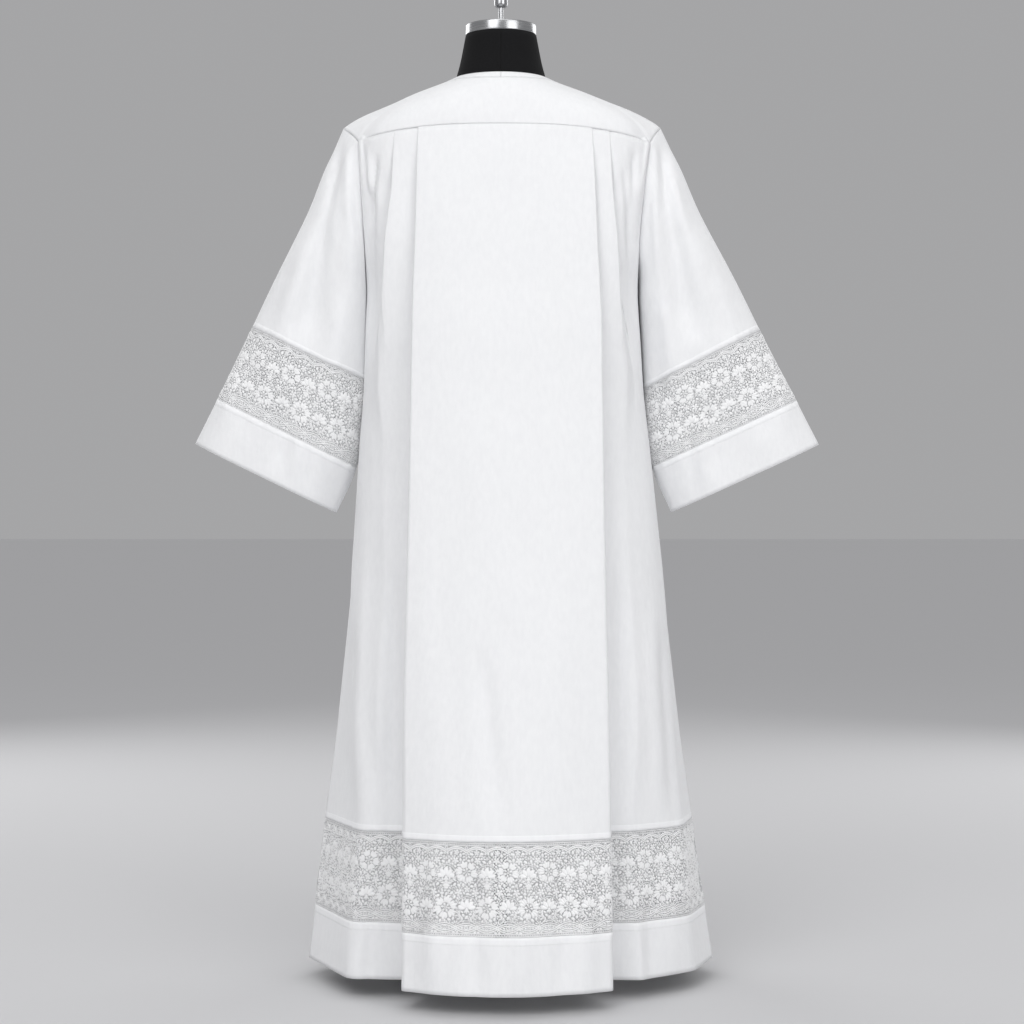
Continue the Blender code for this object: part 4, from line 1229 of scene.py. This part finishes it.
def sample(grid, across, down):
    """Points of a grid at shares across and down it."""
    rows, columns = grid.shape[:2]
    x = np.clip(across, 0.0, 1.0) * (columns - 1)
    y = np.clip(down, 0.0, 1.0) * (rows - 1)
    i, j = np.minimum(x.astype(int), columns - 2), np.minimum(y.astype(int), rows - 2)
    fx, fy = (x - i)[:, None], (y - j)[:, None]
    top = grid[j, i] * (1.0 - fx) + grid[j, i + 1] * fx
    low = grid[j + 1, i] * (1.0 - fx) + grid[j + 1, i + 1] * fx
    return top * (1.0 - fy) + low * fy


def evenly(grid, outward, count):
    """The same band with its columns spaced evenly along it."""
    new_grid, new_out = [], []
    for row, away in zip(grid, outward):
        lengths = arc_lengths(row)
        spots = np.linspace(0.0, lengths[-1], count)
        new_grid.append(np.column_stack([np.interp(spots, lengths, row[:, k]) for k in range(3)]))
        new_out.append(np.column_stack([np.interp(spots, lengths, away[:, k]) for k in range(3)]))
    return np.array(new_grid), np.array(new_out)


def work_lace(name, grid, outward, look, closed=False):
    """The raised work of a lace band, with a whole number of repeats along it."""
    if closed:
        grid = np.concatenate((grid, grid[:, :1]), axis=1)
        outward = np.concatenate((outward, outward[:, :1]), axis=1)
    middle = arc_lengths(grid[len(grid) // 2])[-1]
    repeats = max(1, round(middle / REPEAT))
    grid, outward = evenly(grid, outward, repeats * 24 + 1)
    points, faces = MOTIFS
    all_points, all_faces = [], []
    for repeat in range(repeats):
        all_faces += [tuple(index + repeat * len(points) for index in face) for face in faces]
        across = (points[:, 0] / REPEAT + repeat) / repeats
        if closed:
            across = across % 1.0
        down = 1.0 - points[:, 1] / LACE_HEIGHT
        spot = sample(grid, across, down)
        away = sample(outward, across, down)
        all_points.append(spot + away * (points[:, 2:] + NET / 2.0))
    return hang(name, np.concatenate(all_points), all_faces, look)


MOTIFS = one_repeat()
COTTON = cotton("white cotton")
NET_LOOK = net()
THREAD_LOOK = lace_thread()
SEAMED_LOOK = cotton("seamed white cotton", 1.0, True)
DOUBLED_LOOK = cotton("doubled white cotton", 1.05)
JERSEY = jersey()
STEEL = steel()
BLACK_METAL = black_metal()


def claim(item, slot, *nodes):
    if nodes:
        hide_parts(*nodes)
    return item


def doubled(name, grid, outward, above=False, closed=False):
    """The turned-back edge of the cloth, a flat band beside a lace seam that thins out away from it."""
    away = np.array(DOUBLED_AWAY[-len(grid):])
    lying = grid + outward * (away[::-1] if above else away)[:, None, None]
    return claim(shell(name, lying, outward, DOUBLED_LOOK, DOUBLED, closed=closed), "cotton")


def robe_half(name, face):
    grid, outward, levels, along = robe_surface(face)
    lace_start, band_start = BODY_ROWS, BODY_ROWS + LACE_ROWS
    inner = turned_in(grid[0], face)
    body_grid = np.concatenate((inner, grid[:lace_start]))
    body_out = np.concatenate(([outward[0]] * len(inner), outward[:lace_start]))
    body = claim(shell(name + "_body_cloth", body_grid, body_out, COTTON, CLOTH), "cotton", name + "_body")
    rows = slice(lace_start - DOUBLED_ROWS - 1, lace_start)
    upper = doubled(name + "_upper_seam", grid[rows], outward[rows], True)
    declare(body_grid)
    net_grid, net_out = grid[lace_start:band_start], outward[lace_start:band_start]
    mesh = claim(shell(name + "_hem_lace_net", net_grid, net_out, NET_LOOK, 0.0), "lace", name + "_hem_lace")
    work = claim(work_lace(name + "_hem_lace_work", net_grid, net_out, THREAD_LOOK), "lace")
    declare(net_grid)
    band_grid, band_out = grid[band_start:], outward[band_start:]
    band = claim(shell(name + "_hem_band_cloth", band_grid, band_out, COTTON, CLOTH), "cotton", name + "_hem_band")
    lower = doubled(name + "_lower_seam", band_grid[:DOUBLED_ROWS + 1], band_out[:DOUBLED_ROWS + 1])
    declare(band_grid)


def whole_sleeve(side):
    grid, outward, starts, around = sleeve_surface(side)
    lace_start, cuff_start = int(starts[4]), int(starts[5])
    gap = 0.02
    upper_grid = grid[:lace_start + 1].copy()
    sleeve = claim(shell(f"sleeve_{side}_cloth", upper_grid, outward[:lace_start + 1], COTTON, CLOTH, closed=True),
                   "cotton", "sleeve_" + side)
    rows = slice(lace_start - 2, lace_start + 1)
    upper = doubled(f"sleeve_{side}_upper_seam", grid[rows], outward[rows], True, closed=True)
    declare(upper_grid, closed=True)
    net_grid = grid[lace_start:cuff_start + 1].copy()
    net_out = outward[lace_start:cuff_start + 1]
    net_grid[0] += (net_grid[1] - net_grid[0]) * gap
    net_grid[-1] += (net_grid[-2] - net_grid[-1]) * gap
    mesh = claim(shell(f"sleeve_{side}_lace_net", net_grid, net_out, NET_LOOK, 0.0, closed=True), "lace",
                 f"sleeve_lace_{side}_back", f"sleeve_lace_{side}_front")
    work = claim(work_lace(f"sleeve_{side}_lace_work", net_grid, net_out, THREAD_LOOK, closed=True), "lace")
    declare(net_grid, closed=True)
    cuff_grid, cuff_out = grid[cuff_start:], outward[cuff_start:]
    cuff = claim(shell(f"cuff_{side}_cloth", cuff_grid, cuff_out, COTTON, CLOTH, closed=True), "cotton",
                 "cuff_" + side)
    lower = doubled(f"cuff_{side}_seam", cuff_grid[:3], cuff_out[:3], closed=True)
    declare(cuff_grid, closed=True)


def yoke_and_neckband():
    ring = yoke_ring(12, 54)
    lines = [yoke_line(k, side, face) for k, side, face in ring]

    def row(reach_of):
        points = []
        for start, leave, finish, arrive, length, edge in lines:
            points.append(hermite(start, leave, finish, arrive, reach_of(length, edge)))
        return points

    band_rows = [row(lambda length, edge, i=i: edge + NECKBAND * i / 5.0 / length) for i in range(6)]
    panel_rows = []
    for i in range(YOKE_ROWS + 1):
        share = i / YOKE_ROWS

        def reach(length, edge, share=share):
            start = edge + (NECKBAND + SEAM) / length
            return start + (1.0 - start) * share

        panel_rows.append(row(reach))
    grid = np.array(band_rows + panel_rows)
    outward = normals(grid, True, 1.0)
    centre = np.array((0.0, 0.0, 1.2))
    if np.mean(np.sum(outward * (grid - centre), axis=2)) < 0.0:
        outward = -outward
    rim = smooth(0.0, 0.3, np.linspace(0.0, 1.0, YOKE_ROWS + 1)) * smooth(1.0, 0.9, np.linspace(0.0, 1.0, YOKE_ROWS + 1))
    lift = soft_waves(grid[6:], 51, 0.0007)
    panel = grid[6:] + outward[6:] * (lift * rim[:, None])[..., None]
    yoke = claim(shell("yoke_cloth", panel, outward[6:], COTTON, CLOTH, closed=True), "cotton", "yoke")
    declare(panel, closed=True)
    band = claim(shell("neckband_cloth", grid[:6], outward[:6], SEAMED_LOOK, 0.0019, closed=True), "cotton", "neckband")
    declare(grid[:6], closed=True)


# The dress form and its stand.

FORM_CLEAR_SHOULDER = 0.0014
FORM_CLEAR_BACK = 0.0050
FORM_CLEAR_FRONT = 0.0080
FORM_YOKE_ROWS = (0.15, 0.30, 0.42, 0.55, 0.65, 0.75)
FORM_NECK = ((1.4913, 0.0573), (1.468, 0.0617), (1.445, 0.0664), (1.430, 0.0705))
FORM_COLUMNS = ("height", "half_width", "back", "front")
FORM_ROWS = (
    (1.300, 0.196, 0.093, 0.092),
    (1.220, 0.178, 0.097, 0.104),
    (1.130, 0.165, 0.098, 0.112),
    (1.000, 0.140, 0.090, 0.100),
    (0.930, 0.131, 0.086, 0.092),
    (0.800, 0.160, 0.104, 0.098),
    (0.720, 0.172, 0.110, 0.103),
    (0.640, 0.168, 0.106, 0.100),
    (0.620, 0.158, 0.098, 0.093),
)
FORM_POWER = 2.4
WALL = 0.0016
CAP_HEIGHTS = (1.4916, 1.5077)
ROD_TOP = 1.537
KNOB_TOP = 1.571
BASE_HEIGHT = 0.010


def form_body():
    ring = yoke_ring(8, 20)
    lines = [yoke_line(k, side, face) for k, side, face in ring]
    angles = [math.radians(float(np.interp(k, range(len(YOKE_ANGLES)), YOKE_ANGLES))) for k, _, _ in ring]
    rings = []
    for height, radius in FORM_NECK:
        spots = []
        for (_, side, face), angle in zip(ring, angles):
            spots.append((SIGN[side] * radius * math.cos(angle), face * radius * math.sin(angle), HEM + height))
        rings.append(spots)
    for row in range(len(FORM_YOKE_ROWS) + 2):
        spots = []
        for (_, side, face), angle, (start, leave, finish, arrive, length, _) in zip(ring, angles, lines):
            reach = (0.0, (NECKBAND + SEAM) / length, *FORM_YOKE_ROWS)[row]
            turn = math.sin(angle) ** 0.25
            spare = FORM_CLEAR_BACK if face < 0.0 else FORM_CLEAR_FRONT
            clear = FORM_CLEAR_SHOULDER + (spare - FORM_CLEAR_SHOULDER) * turn * min(1.0, reach * 4.0)
            spot = hermite(start, leave, finish, arrive, reach)
            ahead = hermite(start, leave, finish, arrive, min(reach + 0.05, 1.0))
            behind = hermite(start, leave, finish, arrive, max(reach - 0.05, 0.0))
            away = np.array((spot[0], spot[1], 0.0))
            away /= np.linalg.norm(away)
            inward = np.cross(ahead - behind, np.array((-away[1], away[0], 0.0)))
            inward /= np.linalg.norm(inward)
            if inward[2] > 0.0:
                inward = -inward
            spots.append(spot + inward * (clear + WALL / 2.0))
        rings.append(spots)
    for row in table(FORM_COLUMNS, FORM_ROWS):
        spots = []
        for (_, side, face), angle in zip(ring, angles):
            depth = row["back"] if face < 0.0 else row["front"]
            x = SIGN[side] * row["half_width"] * max(0.0, math.cos(angle)) ** (2.0 / FORM_POWER)
            spots.append((x, face * depth * math.sin(angle) ** (2.0 / FORM_POWER), HEM + row["height"]))
        rings.append(spots)
    counts = [3] * (len(FORM_NECK) - 1) + [2] * (len(FORM_YOKE_ROWS) + 2) + [8] * (len(FORM_ROWS) - 1) + [3]
    grid = through(rings, counts)
    rows, columns = grid.shape[:2]
    index = np.arange(rows * columns).reshape(rows, columns)
    after = np.roll(index, -1, axis=1)
    faces = np.stack((index[:-1], index[1:], after[1:], after[:-1]), axis=-1).reshape(-1, 4).tolist()
    faces += [index[0].tolist(), index[-1][::-1].tolist()]
    item = hang("form_body", grid.reshape(-1, 3), faces, JERSEY)
    return claim(item, "jersey", "form_torso")


def turned(name, profile, sides, look, slot, node):
    """A solid of revolution about the axis, from (radius, z) pairs, bottom to top."""
    points, faces = [], []
    for radius, z in profile:
        for i in range(sides):
            angle = math.tau * i / sides
            points.append((radius * math.cos(angle), radius * math.sin(angle), z))
    for row in range(len(profile) - 1):
        for i in range(sides):
            j = (i + 1) % sides
            faces.append((row * sides + i, row * sides + j, (row + 1) * sides + j, (row + 1) * sides + i))
    faces += [list(range(sides))[::-1], list(range((len(profile) - 1) * sides, len(profile) * sides))]
    item = hang(name, points, faces, look)
    item.data.set_sharp_from_angle(angle=math.radians(35.0))
    return claim(item, slot, node)


def rounded(radius, low, high, edge, under=None, steps=5):
    """The side of a round part with its two rims rounded off. Its lower rim may be rounded more."""
    bend = [math.pi / 2.0 * i / steps for i in range(steps + 1)]
    under = under or edge
    lower = [(radius - under + under * math.sin(a), low + under - under * math.cos(a)) for a in bend]
    upper = [(radius - edge + edge * math.cos(a), high - edge + edge * math.sin(a)) for a in bend]
    return lower + upper


def stand():
    cap_low, cap_high = (HEM + height for height in CAP_HEIGHTS)
    turned("steel_cap", rounded(0.0573, cap_low, cap_high, 0.0016), 96, STEEL, "steel", "neck_cap")
    rod_low, rod_high = cap_high + SEAM, HEM + ROD_TOP
    collar = [(0.0078, rod_low), (0.0078, rod_low + 0.0018), (0.0060, rod_low + 0.0026), (0.0042, rod_low + 0.0032)]
    turned("steel_rod", collar + [(0.0042, rod_high)], 40, STEEL, "steel", "top_rod")
    knob_low, knob_high = rod_high + SEAM, HEM + KNOB_TOP
    turned("steel_knob", rounded(0.0110, knob_low, knob_high, 0.0020, 0.0055), 48, STEEL, "steel", "top_knob")
    pole_top = HEM + FORM_ROWS[-1][0] - SEAM
    turned("pole", rounded(0.0125, BASE_HEIGHT + SEAM, pole_top, 0.0008), 48, STEEL, "steel", "stand_pole")
    turned("base", rounded(0.165, 0.0, BASE_HEIGHT, 0.0020), 128, BLACK_METAL, "black_metal", "stand_base")


# The camera, the floor and the light.


def studio():
    scene = bpy.context.scene
    camera = bpy.data.objects.new("camera", bpy.data.cameras.new("camera"))
    camera.data.lens = LENS
    camera.data.sensor_width = 36.0
    camera.location = CAMERA
    camera.rotation_euler = (math.radians(90.0), 0.0, 0.0)
    scene.collection.objects.link(camera)
    scene.camera = camera

    floor_mesh = bpy.data.meshes.new("floor")
    reach = 60.0
    floor_mesh.from_pydata(
        [(-reach, -reach, 0.0), (reach, -reach, 0.0), (reach, reach, 0.0), (-reach, reach, 0.0)], [], [(0, 1, 2, 3)]
    )
    floor_mesh.materials.append(Look("pale floor", (0.60, 0.60, 0.61), 0.9).material)
    floor = bpy.data.objects.new("floor", floor_mesh)
    floor.location.z = -0.0005
    scene.collection.objects.link(floor)

    world = bpy.data.worlds.new("studio")
    scene.world = world
    world.use_nodes = True
    world.node_tree.nodes["Background"].inputs["Color"].default_value = (0.60, 0.60, 0.61, 1.0)
    world.node_tree.nodes["Background"].inputs["Strength"].default_value = 0.63

    lamps = (
        ("key", (-1.6, -3.4, 2.6), (61.0, 0.0, -25.0), 2.2, 38.0),
        ("fill", (2.3, -3.1, 1.9), (73.0, 0.0, 36.0), 2.2, 37.0),
        ("top", (0.0, -0.3, 3.6), (4.0, 0.0, 0.0), 2.0, 9.0),
        ("behind left", (-2.4, 3.0, 2.2), (68.0, 0.0, -141.0), 2.2, 40.0),
        ("behind right", (2.4, 3.0, 2.0), (70.0, 0.0, 141.0), 2.2, 30.0),
    )
    for name, place, turn, size, power in lamps:
        lamp = bpy.data.lights.new(name, "AREA")
        lamp.size = size
        lamp.energy = power
        item = bpy.data.objects.new(name, lamp)
        item.location = place
        item.rotation_euler = tuple(math.radians(angle) for angle in turn)
        scene.collection.objects.link(item)
    daylight = bpy.data.lights.new("daylight", "SUN")
    daylight.angle = math.radians(45.0)
    daylight.energy = 0.78
    item = bpy.data.objects.new("daylight", daylight)
    item.rotation_euler = (math.radians(42.0), 0.0, math.radians(-4.0))
    scene.collection.objects.link(item)
    scene.view_settings.view_transform = "Standard"


studio()
form_body()
yoke_and_neckband()
robe_half("back", BACK)
robe_half("front", FRONT)
for sleeve_side in ("left", "right"):
    whole_sleeve(sleeve_side)
stand()
